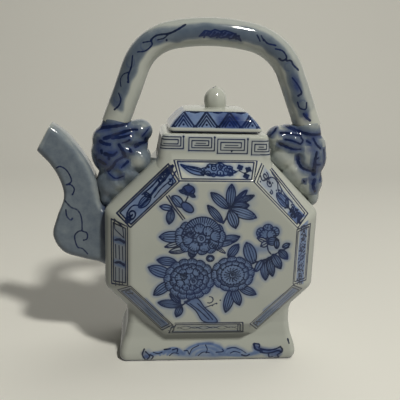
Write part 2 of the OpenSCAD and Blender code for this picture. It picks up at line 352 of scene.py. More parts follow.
class Painting:
    """Brushwork on points in a flat frame. away is the distance in mm from the edge of the nearest line."""

    def __init__(self, u, v):
        self.u = np.asarray(u, float)
        self.v = np.asarray(v, float)
        self.away = np.full(len(self.u), FAR)
        self.wash = np.zeros(len(self.u))
        self.deep = np.zeros(len(self.u))

    def layers(self):
        """Attributes for make_piece: ink is 0.5 on the edge of a line."""
        return {"ink": np.clip(0.5 - self.away, 0, 1), "wash": self.wash, "deep": self.deep}

    def part(self, mask, u, v):
        """A painting of some of the points in another flat frame. give_back() returns it."""
        piece = Painting(u[mask], v[mask])
        piece.mask = mask
        for layer in LAYERS:
            setattr(piece, layer, getattr(self, layer)[mask])
        return piece

    def give_back(self, piece):
        for layer in LAYERS:
            getattr(self, layer)[piece.mask] = getattr(piece, layer)

    def near(self, path, margin):
        """Indices and places of the points around a path."""
        low = path.min(0) - margin
        high = path.max(0) + margin
        at = np.flatnonzero((self.u > low[0]) & (self.u < high[0]) & (self.v > low[1]) & (self.v < high[1]))
        return at, np.column_stack([self.u[at], self.v[at]])

    def stroke(self, path, width=0.5, end_width=None, steps=0):
        """Line along a path, with its width at the start and the end. The brush wavers a little."""
        path = as_path(path, steps)
        end_width = width if end_width is None else end_width
        half = np.linspace(width, end_width, len(path)) / 2
        half = half * (1 + 0.16 * np.sin(1.9 * np.arange(len(path)) + 2.3 * len(path)))
        at, p = self.near(path, max(width, end_width) + 0.6)
        for a, b, h0, h1 in zip(path[:-1], path[1:], half[:-1], half[1:]):
            gap, t = from_segment(p, a, b)
            self.away[at] = np.minimum(self.away[at], gap - (h0 + (h1 - h0) * t))

    def dot(self, u, v, size=0.8):
        """Round touch of the brush."""
        at, p = self.near(np.array([[u, v]]), size)
        self.away[at] = np.minimum(self.away[at], np.hypot(*(p - [u, v]).T) - size / 2)

    def area(self, path, wash=0.6, deep=None, outline=0.4, cover=True, soft=0.5, steps=0):
        """Closed shape: it hides what is below, takes a wash and gets an outline."""
        path = as_path(path)
        if steps:
            path = smooth_curve(np.vstack([path, path[:1]]), steps)[:-1]
        at, p = self.near(path, 1.0 + soft + BLEED)
        gap = np.full(len(at), FAR)
        inside = np.zeros(len(at), bool)
        for a, b in zip(path, np.roll(path, -1, axis=0)):
            gap = np.minimum(gap, from_segment(p, a, b)[0])
            if a[1] != b[1]:
                crosses = (p[:, 1] < a[1]) != (p[:, 1] < b[1])
                inside ^= crosses & (p[:, 0] < a[0] + (p[:, 1] - a[1]) * (b[0] - a[0]) / (b[1] - a[1]))
        if cover:
            self.away[at] = np.where(inside, np.maximum(self.away[at], gap), self.away[at])
        share = np.clip(0.5 - np.where(inside, -gap, gap) / soft, 0, 1)
        if wash and outline:
            halo = 0.5 * wash * np.clip(1 - gap / BLEED, 0, 1)
            self.wash[at] = np.where(inside, self.wash[at], np.maximum(self.wash[at], halo))
        self.wash[at] += (wash - self.wash[at]) * share
        if cover or deep is not None:
            self.deep[at] += ((deep or 0) - self.deep[at]) * share
        if outline:
            self.away[at] = np.minimum(self.away[at], gap - outline / 2)

    def smear(self, path, width, amount, layer="wash", steps=0):
        """Soft band of colour along a path."""
        path = as_path(path, steps)
        at, p = self.near(path, width)
        gap = np.min([from_segment(p, a, b)[0] for a, b in zip(path[:-1], path[1:])], axis=0)
        values = getattr(self, layer)
        values[at] += amount * np.clip(1.3 - gap / (width / 2), 0, 1) * (1 - values[at])

    def shade(self, u, v, ru, rv, amount, layer="deep"):
        """Soft pool of colour."""
        values = getattr(self, layer)
        share = np.clip(1.2 - np.hypot((self.u - u) / ru, (self.v - v) / rv), 0, 1)
        values += amount * share * ((1 - values) if amount > 0 else values)

    def show_only(self, mask):
        """Wipes the lines off the points outside the mask."""
        self.away = np.where(mask, self.away, FAR)


# ---------------------------------------------------------------- pieces

def moulding_mesh(side):
    """One moulded face of the body: a grid of square rings bent to the octagon, with a coarse inner face."""
    fillet = 1.2
    panel_rings = 103
    inner_count = 144
    corner = PROFILE[-1]
    edge = corner - BEVEL / BEVEL_LENGTH * fillet
    start = corner + [0, fillet]
    rings = [(*start, k / panel_rings) for k in range(1, panel_rings)]
    rings += [(*((1 - t)**2 * start + 2 * t * (1 - t) * corner + t**2 * edge), 1)
              for t in np.linspace(0, 1, 6)]
    rings += [(*(edge + (PROFILE[-2] - edge) * t), 1) for t in np.linspace(0, 1, 31)[1:-1]]
    rings += [(SIDE_HALF + EDGE_R * sin(a), EDGE_R * (1 - cos(a)), 1)
              for a in np.linspace(EDGE_TURN, 0, 11)]
    points = [[[0, side * PANEL_Y, BODY_Z]]]
    for i, (depth, inset, scale) in enumerate(rings, 1):
        ring = upright(inset, side * depth, 8 * i, 1 / 16)
        points.append((ring - [0, 0, BODY_Z]) * [scale, 1, scale] + [0, 0, BODY_Z])
    starts = [1 + 4 * i * (i - 1) for i in range(1, len(rings) + 2)]
    painted = starts[-1]
    faces = fan(1, 8, 0)
    for i in range(1, len(rings)):
        inner, outer = starts[i - 1], starts[i]
        n, m = 8 * i, 8 * (i + 1)
        for quarter in range(4):
            a = inner + quarter * 2 * i
            o = quarter * 2 * (i + 1)
            for t in range(2 * i):
                b = inner + (quarter * 2 * i + t + 1) % n
                faces.append([a + t, outer + (o + t + 1) % m, outer + (o + t + 2) % m, b])
            faces.append([a, outer + (o - 1) % m, outer + o])
            faces.append([a, outer + o, outer + (o + 1) % m])
    # The rim at the seam and the inner face
    inner_rings = [(SIDE_HALF, WALL)] + [(d - WALL, WALL + i * 0.96) for d, i in PROFILE[2:]]
    points += [upright(inset, side * depth, inner_count, 1 / 16) for depth, inset in inner_rings]
    points.append([[0, side * (PANEL_Y - WALL), BODY_Z]])
    faces += stitch(range(starts[-2], painted), range(painted, painted + inner_count))
    faces += ring_faces(inner_count, len(inner_rings), False, painted)
    tail = painted + (len(inner_rings) - 1) * inner_count
    faces += fan(tail, inner_count, tail + inner_count)
    return np.vstack(points), faces, painted


def make_moulding(node, side, material):
    points, faces, painted = moulding_mesh(side)
    x, y, z = points[:painted].T
    make_piece(node, points, faces, material, paint_face(x, z - BODY_Z, np.abs(y), side > 0), 32)


# Heights of the rings over a luted joint
JOINT_LIFTS = (0, 0.15, 0.35, 0.6, 0.9, 1.3, 1.7, 2.2, 2.7)


def flare(height, reach=2.6, size=0.9):
    """Extra half width of a luted joint at a height above the surface that it sits on."""
    return size * float(np.clip(1 - max(height, 0) / reach, 0, 1))**2


def level_rings(shape, half_w, half_d, r, count):
    """Level round-cornered rings from rows of [height, extra half width, extra half depth]."""
    return [level(rounded_box(half_w + more_w, half_d + more_d, r, count), z) for z, more_w, more_d in shape]


def between(first, last, steps):
    """Rings shared out between two rings."""
    return [first + (last - first) * t for t in np.linspace(0, 1, steps)[1:-1]]


def make_side_wall(material):
    """Band between the mouldings, open under the neck and pierced behind the spout."""
    count = 720
    corners = ((0, -SIDE_HALF), (0, SIDE_HALF), (WALL, SIDE_HALF), (WALL, -SIDE_HALF))
    rings = [upright(inset, y, count) for inset, y in corners]
    x, _, height = np.vstack(rings).T
    # Grey wash on the left side wall round the spout's root: painted shade where the spout and the moulding
    # shade the wall
    root_low, root_high = spout_stations()[0, [1, 3]]
    paint = Painting(x, height)
    paint.wash = np.clip((height - root_low + 4) / 4, 0, 1) * np.clip((root_high + 6 - height) / 5, 0, 1)
    paint.wash[x > 0] = 0
    piece = make_tube("side_wall", rings, material, paint, sharp=30)
    top = BODY_Z + BODY_H / 2
    half_w, half_d = 21, SIDE_HALF + 1
    mouth = np.array([[-half_w, -half_d], [half_w, -half_d], [half_w, half_d], [-half_w, half_d]])
    tools = [plug([level(mouth, top - 20), level(mouth, top + 10)])]
    # Strainer of seven holes
    pitch, hole_r = 6, 2
    holes = [(0, 0)] + [(pitch * cos(radians(60 * k)), pitch * sin(radians(60 * k))) for k in range(6)]
    for up, across in holes:
        z = BODY_Z + 3 + up
        tools.append(rod((-BODY_W / 2 - 5, across, z), (-BODY_W / 2 + 7, across, z), hole_r))
    cut(piece, *tools)


def make_neck(material):
    """Box-like collar with a flat top, standing on the shoulders."""
    half_w, half_d, top = node_box("neck")[1]
    count = 560

    def standing(extra, r, lift):
        ring = rounded_box(half_w + extra, half_d + extra, r, count)
        return level(ring, body_top(*ring.T) + lift)

    shape = soft_profile([[top - 12, 0, 0], [top - 2, -1.6, -0.2], [top - 0.7, -2, -0.8], [top, -3.2, -2],
                          [top, -9, -8.3], [top - 0.6, -10.2, -9.5], [top - 4, -10.2, -9.5]], FINE, 0.7)
    outside = level_rings(shape[shape[:, 1] > -9.5], half_w, half_d, 4, count)
    joint = [standing(flare(lift), 4, lift) for lift in (-1, *JOINT_LIFTS)]
    rings = joint + between(joint[-1], outside[0], 26) + outside
    painted = len(rings) * count
    mouth_w, mouth_d = 19.3, 12
    inside = ((top - 0.6, mouth_w, mouth_d), (top - 4, mouth_w, mouth_d),
              (top - 4, half_w - 2 - WALL, half_d - WALL))
    rings += level_rings(inside, 0, 0, 4, count) + [standing(-WALL, 3, -1)]
    make_tube("neck", rings, material, paint_neck(np.vstack(rings)[:painted], half_d, top))


def make_foot(material):
    """Hollow plinth with coved sides, carrying the underside of the body."""
    half_w, half_d, _ = node_box("foot")[1]
    waist_w, waist_d = 4.4, 3.2
    roof = 14
    count = 700

    def carrying(less_w, less_d, r, drop):
        ring = rounded_box(half_w - less_w, half_d - less_d, r, count)
        return level(ring, body_under(*ring.T) - drop)

    shape = soft_profile([[0, -2.6, -2.6], [0, -1.4, -1.4], [1.4, -0.3, -0.3], [4.5, 0, 0], [9, -1, -0.8],
                          [14, -2.9, -2.2], [22, -waist_w, -waist_d]], FINE, 1.2)
    rings = level_rings(shape, half_w, half_d, 4, count)
    joint = [carrying(waist_w - flare(drop), waist_d - flare(drop), 4, drop)
             for drop in (*JOINT_LIFTS[::-1], -1)]
    rings += between(rings[-1], joint[0], 14) + joint
    painted = len(rings) * count
    inside = carrying(waist_w + 4, waist_d + 4, 3, -1)
    below = inside.copy()
    below[:, 2] = np.minimum(roof, inside[:, 2] - 1.5)
    rings += [inside, below, level(rounded_box(half_w - 5, half_d - 5, 3, count), 0)]
    make_tube("foot", rings, material, paint_foot(np.vstack(rings)[:painted], half_w, half_d))


def spout_stations():
    """Stations from the body to the mouth: lower x and z, upper x and z."""
    root = -BODY_W / 2
    return np.array([
        [0, 52.6, 0, 84],
        [-12, 55.2, -2.5, 87.5],
        [-23, 59, -3, 90.5],
        [-28.3, 68, -3.8, 95.5],
        [-26, 78.5, -5.8, 102],
        [-22.2, 89.5, -9.2, 109],
        [-24.2, 99, -14.4, 116.8],
        [-29, 107.2, -20.8, 124.2],
        [-35.4, 114, -27.4, 129]]) + [root, 0, root, 0]


def make_spout(material):
    """Flat S-curved spout, open at both ends."""
    stations = smooth_curve(spout_stations(), 30)
    count = 150
    shell = 2.6
    root_half, mouth_half = 10, 6.5
    last = len(stations) - 1

    def ring(index, margin, ahead_by=0.0):
        low, high = stations[index, :2], stations[index, 2:]
        height = np.hypot(*(high - low))
        across = (high - low) / height
        ahead = np.array([-across[1], across[0]])
        mid = (low + high) / 2 + ahead_by * ahead
        half_y = root_half + (mouth_half - root_half) * index / last - margin
        flat = rounded_box(height / 2 - margin, half_y, max(4.5 - margin, 1), count)
        return np.column_stack([mid[0] + across[0] * flat[:, 0], flat[:, 1], mid[1] + across[1] * flat[:, 0]])

    rings = [ring(i, -flare(stations[0, 0] - stations[i, [0, 2]].mean(), 3, 1.0)) for i in range(last + 1)]
    painted = len(rings) * count
    lip = ((0.1, 0.25), (0.35, 0.45), (0.9, 0.55), (1.8, 0.5), (2.4, 0.25))
    rings += [ring(last, margin, ahead_by) for margin, ahead_by in lip]
    rings += [ring(i, shell) for i in range(last, -1, -8)]
    make_tube("spout", rings, material, paint_spout(np.vstack(rings)[:painted], stations, count), sharp=50)


def arch_path(step):
    """Centre line of the handle from left to right, as [x, z, outward angle, length from the top]."""
    turn = radians(TOP_ARC_TURN)
    slant = radians(LEG_SLANT)
    top_end = TOP_ARC_R * np.array([sin(turn), cos(turn) - 1])
    centre = top_end - SHOULDER_R * np.array([sin(turn), cos(turn)])
    end = centre + SHOULDER_R * np.array([cos(slant), sin(slant)])
    leg = (ARCH_TOP - HANDLE_R + end[1] - LEG_END_Z) / cos(slant)
    a = np.linspace(0, turn, 60)
    top = np.column_stack([TOP_ARC_R * np.sin(a), TOP_ARC_R * (np.cos(a) - 1), pi / 2 - a])
    a = np.linspace(pi / 2 - turn, slant, 80)[1:]
    bend = np.column_stack([centre[0] + SHOULDER_R * np.cos(a), centre[1] + SHOULDER_R * np.sin(a), a])
    t = np.linspace(0, leg, 60)[1:]
    legs = np.column_stack([end[0] + t * sin(slant), end[1] - t * cos(slant), np.full(len(t), slant)])
    half = np.vstack([top, bend, legs])
    whole = np.vstack([half[:0:-1] * [-1, 1, -1] + [0, 0, pi], half])
    length = run_length(whole[:, :2])
    at = np.linspace(0, length[-1], int(length[-1] / step) + 1)
    path = np.column_stack([np.interp(at, length, column) for column in whole.T] + [at - length[-1] / 2])
    path[:, 1] += ARCH_TOP - HANDLE_R
    rise = np.clip((path[:, 1] - LEG_END_Z) / (ARCH_TOP - LEG_END_Z), 0, 1)
    path[:, 0] -= ARCH_LEAN * rise**2
    return path


def make_handle(material):
    """Hollow arch handle, cast in one piece."""
    path = arch_path(0.5)
    count = 96
    a = np.linspace(0, 2 * pi, count, endpoint=False)

    def ring(spot, r):
        x, z, outward, _ = spot
        return np.column_stack([x + r * np.cos(a) * cos(outward), r * np.sin(a),
                                z + r * np.cos(a) * sin(outward)])

    rings = [ring(spot, HANDLE_R) for spot in path]
    rings += [ring(spot, HANDLE_R - HANDLE_WALL) for spot in [*path[::-6], path[0]]]
    along = np.repeat(path[:, 3], count)
    turned = np.tile(np.where(a > pi, a - 2 * pi, a), len(path))
    make_tube("handle", rings, material, paint_handle(along, turned, path[-1, 3]), sharp=50)


def make_lid_cover(material):
    """Hipped cover with its vent."""
    low, (half_w, half_d, crown) = node_box("lid_cover")
    z0 = low[2]
    count, coarse = 480, 80
    shape = soft_profile([[z0, -3, -3], [z0, -1.5, -1.5], [z0 + 0.5, -0.7, -0.7], [z0 + 1.1, 0, 0],
                          [z0 + 2, 0, 0], [z0 + 2.8, -0.5, -0.4], [z0 + 6.4, -3.2, -1.7],
                          [z0 + 10.2, -7.2, -4.2], [z0 + 11, -8.6, -5.4], [crown, -13, -9],
                          [crown, -17, -13]], 0.36, 0.6)
    rings = []
    for z, more_w, more_d in shape[::-1]:
        r = 2.4 + 1.4 * np.clip((z - z0) / 10, 0, 1)
        rings.append(level(rounded_box(half_w + more_w, half_d + more_d, r, count), z))
    painted = len(rings) * count
    hollow = 8.4
    inner = ((z0, 15.6, 8.6), (z0 + 3.5, 15.6, 8.6), (z0 + hollow, 11, 7))
    inner_rings = level_rings(inner, 0, 0, 2, coarse)
    centres = [[0, 0, z0 + hollow], [0, 0, crown]]
    points = np.vstack(rings + inner_rings + [centres])
    faces = ring_faces(count, len(rings), False)
    faces += stitch(range(painted - count, painted), range(painted, painted + coarse))
    faces += ring_faces(coarse, len(inner), False, painted)
    faces += fan(len(points) - 2 - coarse, coarse, len(points) - 2)
    faces += fan(0, count, len(points) - 1, True)
    paint = paint_lid(points[:painted], half_w, half_d, z0)
    cover = make_piece("lid_cover", points, faces, material, paint, body="lid")
    vent_x, vent_y, vent_r = 8, 3, 1.2
    cut(cover, rod((vent_x, vent_y, z0 + 2), (vent_x, vent_y, crown + 4), vent_r, 32))


def make_lid_flange(material):
    """Flange that holds the lid in the neck."""
    low, (half_w, half_d, top) = node_box("lid_flange")
    bottom = low[2]
    shape = soft_profile([[top, 0, 0], [bottom + 0.6, 0, 0], [bottom, -0.6, -0.6], [bottom, -2.2, -2.2],
                          [bottom + 0.6, -2.8, -2.8], [top, -2.8, -2.8]], 0.5, 0.5)
    rings = [level(rounded_box(half_w + more, half_d + more, max(4 + more, 1.4), 160), z)
             for z, more, _ in shape]
    make_tube("lid_flange", rings, material, body="lid")


def make_lid_knob(material):
    """Ribbed bud on top of the lid."""
    low, high = node_box("lid_knob")
    foot = low[2]
    centre_x = 1
    sides = 96
    shape = smooth_curve([[5.8, -0.5], [5.5, 0.2], [5.65, 0.9], [5.9, 2.1], [high[0], 3.6], [5.8, 5.4],
                          [5.2, 7], [4.2, 8.5], [2.8, 9.7], [1.5, 10.3], [0.8, 10.6], [0.3, 11.1]], 4)
    turn = np.linspace(0, 2 * pi, sides, endpoint=False)
    rings = []
    for radius, lift in shape:
        r = radius * (1 + 0.02 * np.cos(8 * turn) * exp(-((lift - 5.5) / 3)**2))
        rings.append(level(np.column_stack([r * np.cos(turn) + centre_x, r * np.sin(turn)]), foot + lift))
    points = np.vstack(rings + [[[centre_x, 0, foot - 0.6], [centre_x, 0, foot + 11.2]]])
    faces = ring_faces(sides, len(shape), False)
    faces += fan(0, sides, len(points) - 2, True)
    faces += fan((len(shape) - 1) * sides, sides, len(points) - 1)
    paint = Painting(points[:, 0], points[:, 2])
    paint.stroke([[-0.5, 149.5], [0.5, 150.2]], 0.8, 0.5)
    paint.stroke([[1.8, 150.6], [2.8, 150.1], [3.9, 149.2]], 0.6, 0.4)
    paint.show_only(points[:, 1] < 0.5)
    make_piece("lid_knob", points, faces, material, paint, 60, "lid")


# ---------------------------------------------------------------- lugs

def ball(centre, radii, turn=0.0):
    """Ellipsoid as points and faces, turned about the y axis by an angle in degrees."""
    sides, levels = 32, 18
    tilts = np.linspace(-pi / 2, pi / 2, levels + 1)[1:-1]
    rings = [level(oval(0, 0, cos(t), cos(t), sides), sin(t)) for t in tilts]
    x, y, z = (np.vstack(rings + [[[0, 0, -1], [0, 0, 1]]]) * radii).T
    c, s = cos(radians(turn)), sin(radians(turn))
    points = np.column_stack([x * c - z * s, y, x * s + z * c]) + centre
    faces = ring_faces(sides, len(rings), False)
    faces += fan(0, sides, len(points) - 2, True)
    faces += fan((len(rings) - 1) * sides, sides, len(points) - 1)
    return points, faces


def body_tool():
    """Outside of the flask body, for cut()."""
    profile = np.vstack([PROFILE, [[PANEL_Y, PANEL_INSET + 10]]])
    return plug([upright(inset, depth, 160) for depth, inset in [*(profile[::-1] * [-1, 1]), *profile]])


def neck_tool():
    """Outside of the neck, for cut()."""
    half_w, half_d, top = node_box("neck")[1]
    shape = ((top - 30, 0, 0), (top - 12, 0, 0), (top - 2, -1.6, 0), (top - 0.7, -2, 0), (top, -3.2, 0))
    return plug(level_rings(shape, half_w, half_d, 4, 96))


def read_vectors(mesh, name):
    """Rows of x, y and z of a mesh's vertices."""
    values = np.empty(len(mesh.vertices) * 3)
    mesh.vertices.foreach_get(name, values)
    return values.reshape(-1, 3)


def melted(balls, side):
    """Balls joined into one softened lump. A ball off the middle plane has a twin behind it."""
    points = np.zeros((0, 3))
    faces = []
    for (x, y, z), radii, turn in balls:
        for depth in ([y, -y] if y else [y]):
            more, sheet = ball((side * x, depth, z), radii, side * turn)
            faces += [[i + len(points) for i in face] for face in sheet]
            points = np.vstack([points, more])
    lump = new_object("tool", points * MM, faces)
    melt = lump.modifiers.new("melt", "REMESH")
    melt.mode = "VOXEL"
    melt.voxel_size = 0.42 * MM
    soften = lump.modifiers.new("soften", "SMOOTH")
    soften.factor = 0.5
    soften.iterations = 60
    evaluated(lump)
    return lump


def sculpt(balls, grooves, side):
    """Modelled lump, grooved and cut to sit on the body, the neck and the handle."""
    lump = melted(balls, side)
    spots = read_vectors(lump.data, "co") / MM
    normals = read_vectors(lump.data, "normal")
    lines = Painting(spots[:, 0], spots[:, 2])
    for path, width, depth in grooves:
        lines.away[:] = FAR
        lines.stroke(np.array(path) * [side, 1], width, width * 0.6, 5)
        amount = depth * np.clip(-lines.away / (width / 2) + 0.6, 0, 1.2)
        spots -= normals * amount[:, None] * np.clip(np.abs(normals[:, 1:2]) * 1.6 - 0.3, 0, 1)
    lump.data.vertices.foreach_set("co", (spots * MM).ravel())
    foot = np.array([side * LEG_FOOT_X, 0, LEG_END_Z])
    up = np.array([-side * sin(radians(LEG_SLANT)), 0, cos(radians(LEG_SLANT))])
    cut(lump, body_tool(), neck_tool(), rod(foot, foot + up * 40, HANDLE_R + 0.05, 64))
    return lump


def make_lug(node, side, balls, grooves, strokes, patches, material):
    """Modelled lug that holds one end of the handle."""
    lump = sculpt(balls, grooves, side)
    points = read_vectors(lump.data, "co") / MM
    faces = [list(face.vertices) for face in lump.data.polygons]
    bpy.data.objects.remove(lump)
    paint = paint_lug(points, side, strokes, patches)
    make_piece(node, points, faces, material, paint, 50, slot="washed_porcelain")


# Balls as [centre, radii, turn], for the side with positive x
LEFT_BALLS = [
    ((51.9, 0, 126), (8.4, 8.3, 8.2), 0),
    ((51.2, 0, 129.4), (8.1, 8.1, 5.4), 21),
    ((55.4, 0, 121), (9.2, 9.6, 7.8), 0),
    ((54, 0, 113.5), (11.2, 11.4, 12.5), 0),
    ((45.5, 0, 118.5), (11, 11.2, 10.6), 0),
    ((44.5, 0, 124.6), (6.4, 8.8, 6.2), 0),
    ((39, 0, 125.6), (6.8, 8.8, 6.3), 0),
    ((39.4, 4.4, 110.6), (6.6, 7.2, 6.6), 0),
    ((47, 0, 105), (10.4, 11.9, 10), 0),
    ((51.5, 0, 100), (9, 11.7, 9), 0),
    ((54.4, 0, 97), (8.2, 10.8, 10), 0),
    ((57, 0, 90), (4.2, 8.6, 6.5), 0),
]
RIGHT_BALLS = [
    ((51.9, 0, 126), (8.2, 8.2, 8.2), 0),
    ((51.2, 0, 129.4), (8.1, 8.1, 5.4), 21),
    ((54, 0, 118.5), (9.4, 9.6, 8.4), 0),
    ((53, 0, 112.5), (11.1, 11.4, 12.5), 0),
    ((44, 0, 119.5), (11, 10.8, 9.8), 0),
    ((36.6, 0, 122.4), (7.2, 9.2, 7.3), 0),
    ((41.4, 0, 124.4), (6.4, 9, 6.2), 0),
    ((40.5, 0, 112.5), (8.4, 10.4, 8), 0),
    ((47.5, 0, 104.5), (10, 11.7, 10), 0),
    ((44.8, 8.4, 106.4), (3.2, 3.5, 3.2), 0),
    ((54.4, 0, 99), (8.4, 10.6, 10), 0),
    ((57, 0, 91), (4.2, 8.2, 6.4), 0),
    ((53.8, 7.4, 95.6), (3.2, 3.3, 3.2), 0),
]
# Grooves as [path in x and z, width, depth]
LEFT_GROOVES = [
    ([[46, 119], [40, 118.4], [32, 119]], 4, 1.3),
    ([[47, 108], [43, 105.6], [40, 105]], 3, 0.5),
    ([[50.6, 104], [50.4, 99]], 2.8, 0.5),
    ([[57, 122.6], [50, 124.6], [42, 126.8]], 2, 0.35),
]
RIGHT_GROOVES = [
    ([[46, 118.6], [40, 119.4], [34, 121.4]], 3, 0.5),
    ([[46.4, 114], [48.4, 108.6], [54.6, 106]], 3, 0.6),
    ([[58.4, 102], [52, 100.4], [49, 98]], 2.6, 0.5),
]

# Strokes as [path in x and z, width at the start, width at the end], for the side with positive x
LEFT_STROKES = [
    ([[62, 126.6], [55, 128.3], [49, 129.2], [45.8, 130.2]], 1.7, 1.5),
    ([[57.5, 122.4], [51.5, 124.4], [44.5, 126.8], [40.4, 127.2]], 2.1, 1.0),
    ([[53.4, 122.8], [49, 123.2], [44, 124.6]], 1.7, 0.9),
    ([[59.5, 120.8], [57.4, 119.8], [54.6, 119.4]], 2.0, 1.5),
    ([[59, 116], [58.8, 114.8]], 1.5, 1.2),
    ([[57, 114.6], [53.2, 114], [51, 115.6]], 2.1, 0.8),
    ([[55, 113.6], [55, 111.8]], 1.6, 1.2),
    ([[49.8, 119.4], [48, 116.6], [47, 113.4]], 1.6, 2.1),
    ([[47.4, 113], [51.4, 110.8], [53, 108], [55.6, 105.4]], 1.0, 1.9),
    ([[60, 110.6], [57, 109]], 2.1, 1.7),
    ([[45.4, 110.4], [48.6, 107.4]], 1.4, 0.7),
    ([[41, 118.8], [38.4, 120], [33.4, 120.2]], 2.6, 0.8),
    ([[37.6, 124], [34.6, 127.4]], 0.7, 0.5),
    ([[44, 116.6], [43.4, 115.8]], 1.6, 1.2),
    ([[36, 122.4], [36.2, 121.6]], 1.2, 1.2),
    ([[44.4, 122], [46, 121], [48.2, 120.4]], 1.0, 0.6),
    ([[62.4, 113], [60.8, 106.4]], 0.9, 0.6),
    ([[55.4, 104], [51.4, 101.6], [47.6, 103]], 0.5, 0.6),
]
RIGHT_STROKES = [
    ([[39.4, 130.6], [43.4, 128.4], [48, 127], [54, 126], [61.4, 126.2]], 2.0, 1.3),
    ([[36, 126.6], [39.6, 126.7], [43.4, 126], [47, 125.4]], 1.1, 0.9),
    ([[38.4, 123.4], [42, 122.9], [45.2, 121.8]], 1.0, 0.9),
    ([[45, 121.8], [46.6, 121.4], [48, 123], [47, 124.4]], 0.9, 0.9),
    ([[35.8, 121], [39.6, 119.4], [43.2, 118.4], [47, 118.4]], 1.9, 0.5),
    ([[54, 124], [55.6, 121], [58, 118.8]], 1.0, 1.1),
    ([[46, 114], [46.4, 111], [48.2, 108.4], [51.4, 107], [54.6, 106]], 2.0, 0.9),
    ([[55.8, 117], [55, 113.2], [55, 109.4], [55.4, 105]], 1.2, 2.6),
    ([[55.4, 110.2], [58.4, 110]], 1.4, 0.7),
    ([[55, 113], [57, 114]], 1.0, 0.6),
    ([[56, 101.4], [55.2, 98.6], [56.8, 95]], 2.0, 1.6),
    ([[49.6, 101.4], [50.4, 100.2]], 0.9, 0.6),
    ([[30.6, 124.4], [34.6, 129]], 0.6, 0.5),
    ([[50.4, 122.6], [52.4, 121.6]], 1.1, 0.8),
    ([[60.6, 118], [61, 108], [59.6, 101]], 0.8, 0.8),
]
# Pools of dark glaze as [x, z, half width, half height, amount]
LEFT_PATCHES = [(57.4, 127.3, 5, 2.6, 0.6), (54.4, 115.9, 4.6, 3, 0.7), (57.5, 110, 4, 4, 0.6),
                (47, 124.9, 4.4, 2, 0.5), (61.4, 116.8, 2.6, 5.5, 0.6), (50.3, 109.1, 4, 2.6, 0.4)]
RIGHT_PATCHES = [(52.5, 118.5, 3.6, 3.2, 0.55), (56.6, 107.6, 3, 4.6, 0.6), (40, 126.3, 5, 1.8, 0.35),
                 (52.7, 102, 2.2, 2.6, 0.5), (55, 124, 4, 2.6, 0.4)]


# Share of the listed widths that the strokes on the lugs are drawn with
LUG_BRUSH = 0.86


def paint_lug(points, side, strokes, patches):
    """Loose grey-blue wash with dark brush marks on the front and the back."""
    x, y, z = points.T
    p = Painting(x, z)
    p.wash[:] = 0.7 if side < 0 else 0.32
    for path, width, end in strokes:
        p.stroke(np.array(path) * [side, 1], width * LUG_BRUSH, end * LUG_BRUSH, 5)
    reach = p.away.copy()
    p.show_only(np.abs(y) >= 2.2)
    # The colour bleeds round the strokes
    p.deep = 0.6 * np.clip(1 - reach / 2.4, 0, 1)**1.3
    p.wash = np.clip(p.wash + 0.6 * np.clip(1 - reach / 3.6, 0, 1), 0, 1)
    for u, v, wide, tall, amount in patches:
        p.shade(side * u, v, wide, tall, amount)
    # Pale spots where the wash is thinned: painted highlights on the glaze
    painted_highlights = [(37.5, 128.5, 6, 4, -0.55), (40.5, 110.5, 5.5, 4.5, -0.8), (50, 96, 4.5, 5, -0.45)]
    if side > 0:
        painted_highlights += [(u, v, wide, wide, -0.6) for u, v, wide in
                 ((44.5, 108.6, 5), (37.4, 116, 4), (47, 101, 4.4), (34, 123.6, 3.4), (60.6, 103, 2.6))]
    for u, v, wide, tall, amount in painted_highlights:
        p.shade(side * u, v, wide, tall, amount, "wash")
    p.wash = np.clip(p.wash, 0, 1)
    return p


# ---------------------------------------------------------------- motifs

def spin(points, angle, at=(0, 0), scale=(1, 1)):
    """Points turned by an angle in degrees, scaled first and moved last."""
    a = radians(angle)
    p = np.array(points, float) * scale
    return np.column_stack([p[:, 0] * cos(a) - p[:, 1] * sin(a),
                            p[:, 0] * sin(a) + p[:, 1] * cos(a)]) + at


def leaf(paint, base, tip, width, wash=0.75, deep=None, bend=0.0, veins=2, knob=1.2, line=0.5):
    """Pointed leaf with a midrib, side veins and a dark touch at its tip."""
    base = np.array(base, float)
    tip = np.array(tip, float)
    axis = tip - base
    size = hypot(*axis)
    turn = degrees(atan2(axis[1], axis[0]))
    t = np.linspace(0, pi, 15)
    lift = bend * np.sin(t) * size
    along = size * (1 - np.cos(t)) / 2
    belly = width / 2 * np.sin(t)**1.25
    above = np.column_stack([along, lift + belly])
    below = np.column_stack([along, lift - belly])
    outline = np.vstack([above, below[-2:0:-1]])
    paint.area(spin(outline, turn, base), wash, deep, line)
    rib = np.column_stack([along, lift])[:13]
    paint.stroke(spin(rib, turn, base), line * 1.1, line * 0.5)
    for k in range(veins):
        side = (-1)**k * (0.5 if k < 2 else 0.25)
        vein = np.column_stack([along, lift + belly * side])[3:12]
        paint.stroke(spin(vein, turn, base), line * 0.35, line * 0.55)
    if knob:
        paint.dot(*tip, knob)


def petal(paint, at, turn, length, width, wash, hatch=5, line=0.45, deep=None):
    """Rounded petal whose tip points along turn, hatched inwards from its rim."""
    t = np.linspace(-pi, pi, 20, endpoint=False)
    outline = np.column_stack([length / 2 * np.cos(t), width / 2 * np.sin(t) * (1 + 0.12 * np.cos(t))])
    paint.area(spin(outline, turn, at), wash, deep, line)
    for k in range(hatch):
        side = (k + 0.5) / hatch * 2 - 1
        reach = sqrt(1 - side * side * 0.85)
        rim = [length / 2 * reach * 0.94, width / 2 * side * 0.9]
        end = [length / 2 * (reach - 0.55 - 0.2 * (k % 2)), width / 2 * side * 0.62]
        paint.stroke(spin([rim, end], turn, at), line * 0.95, line * 0.3)


def leaves(paint, rows):
    """Leaves from rows of leaf()'s values."""
    for row in rows:
        leaf(paint, *row)


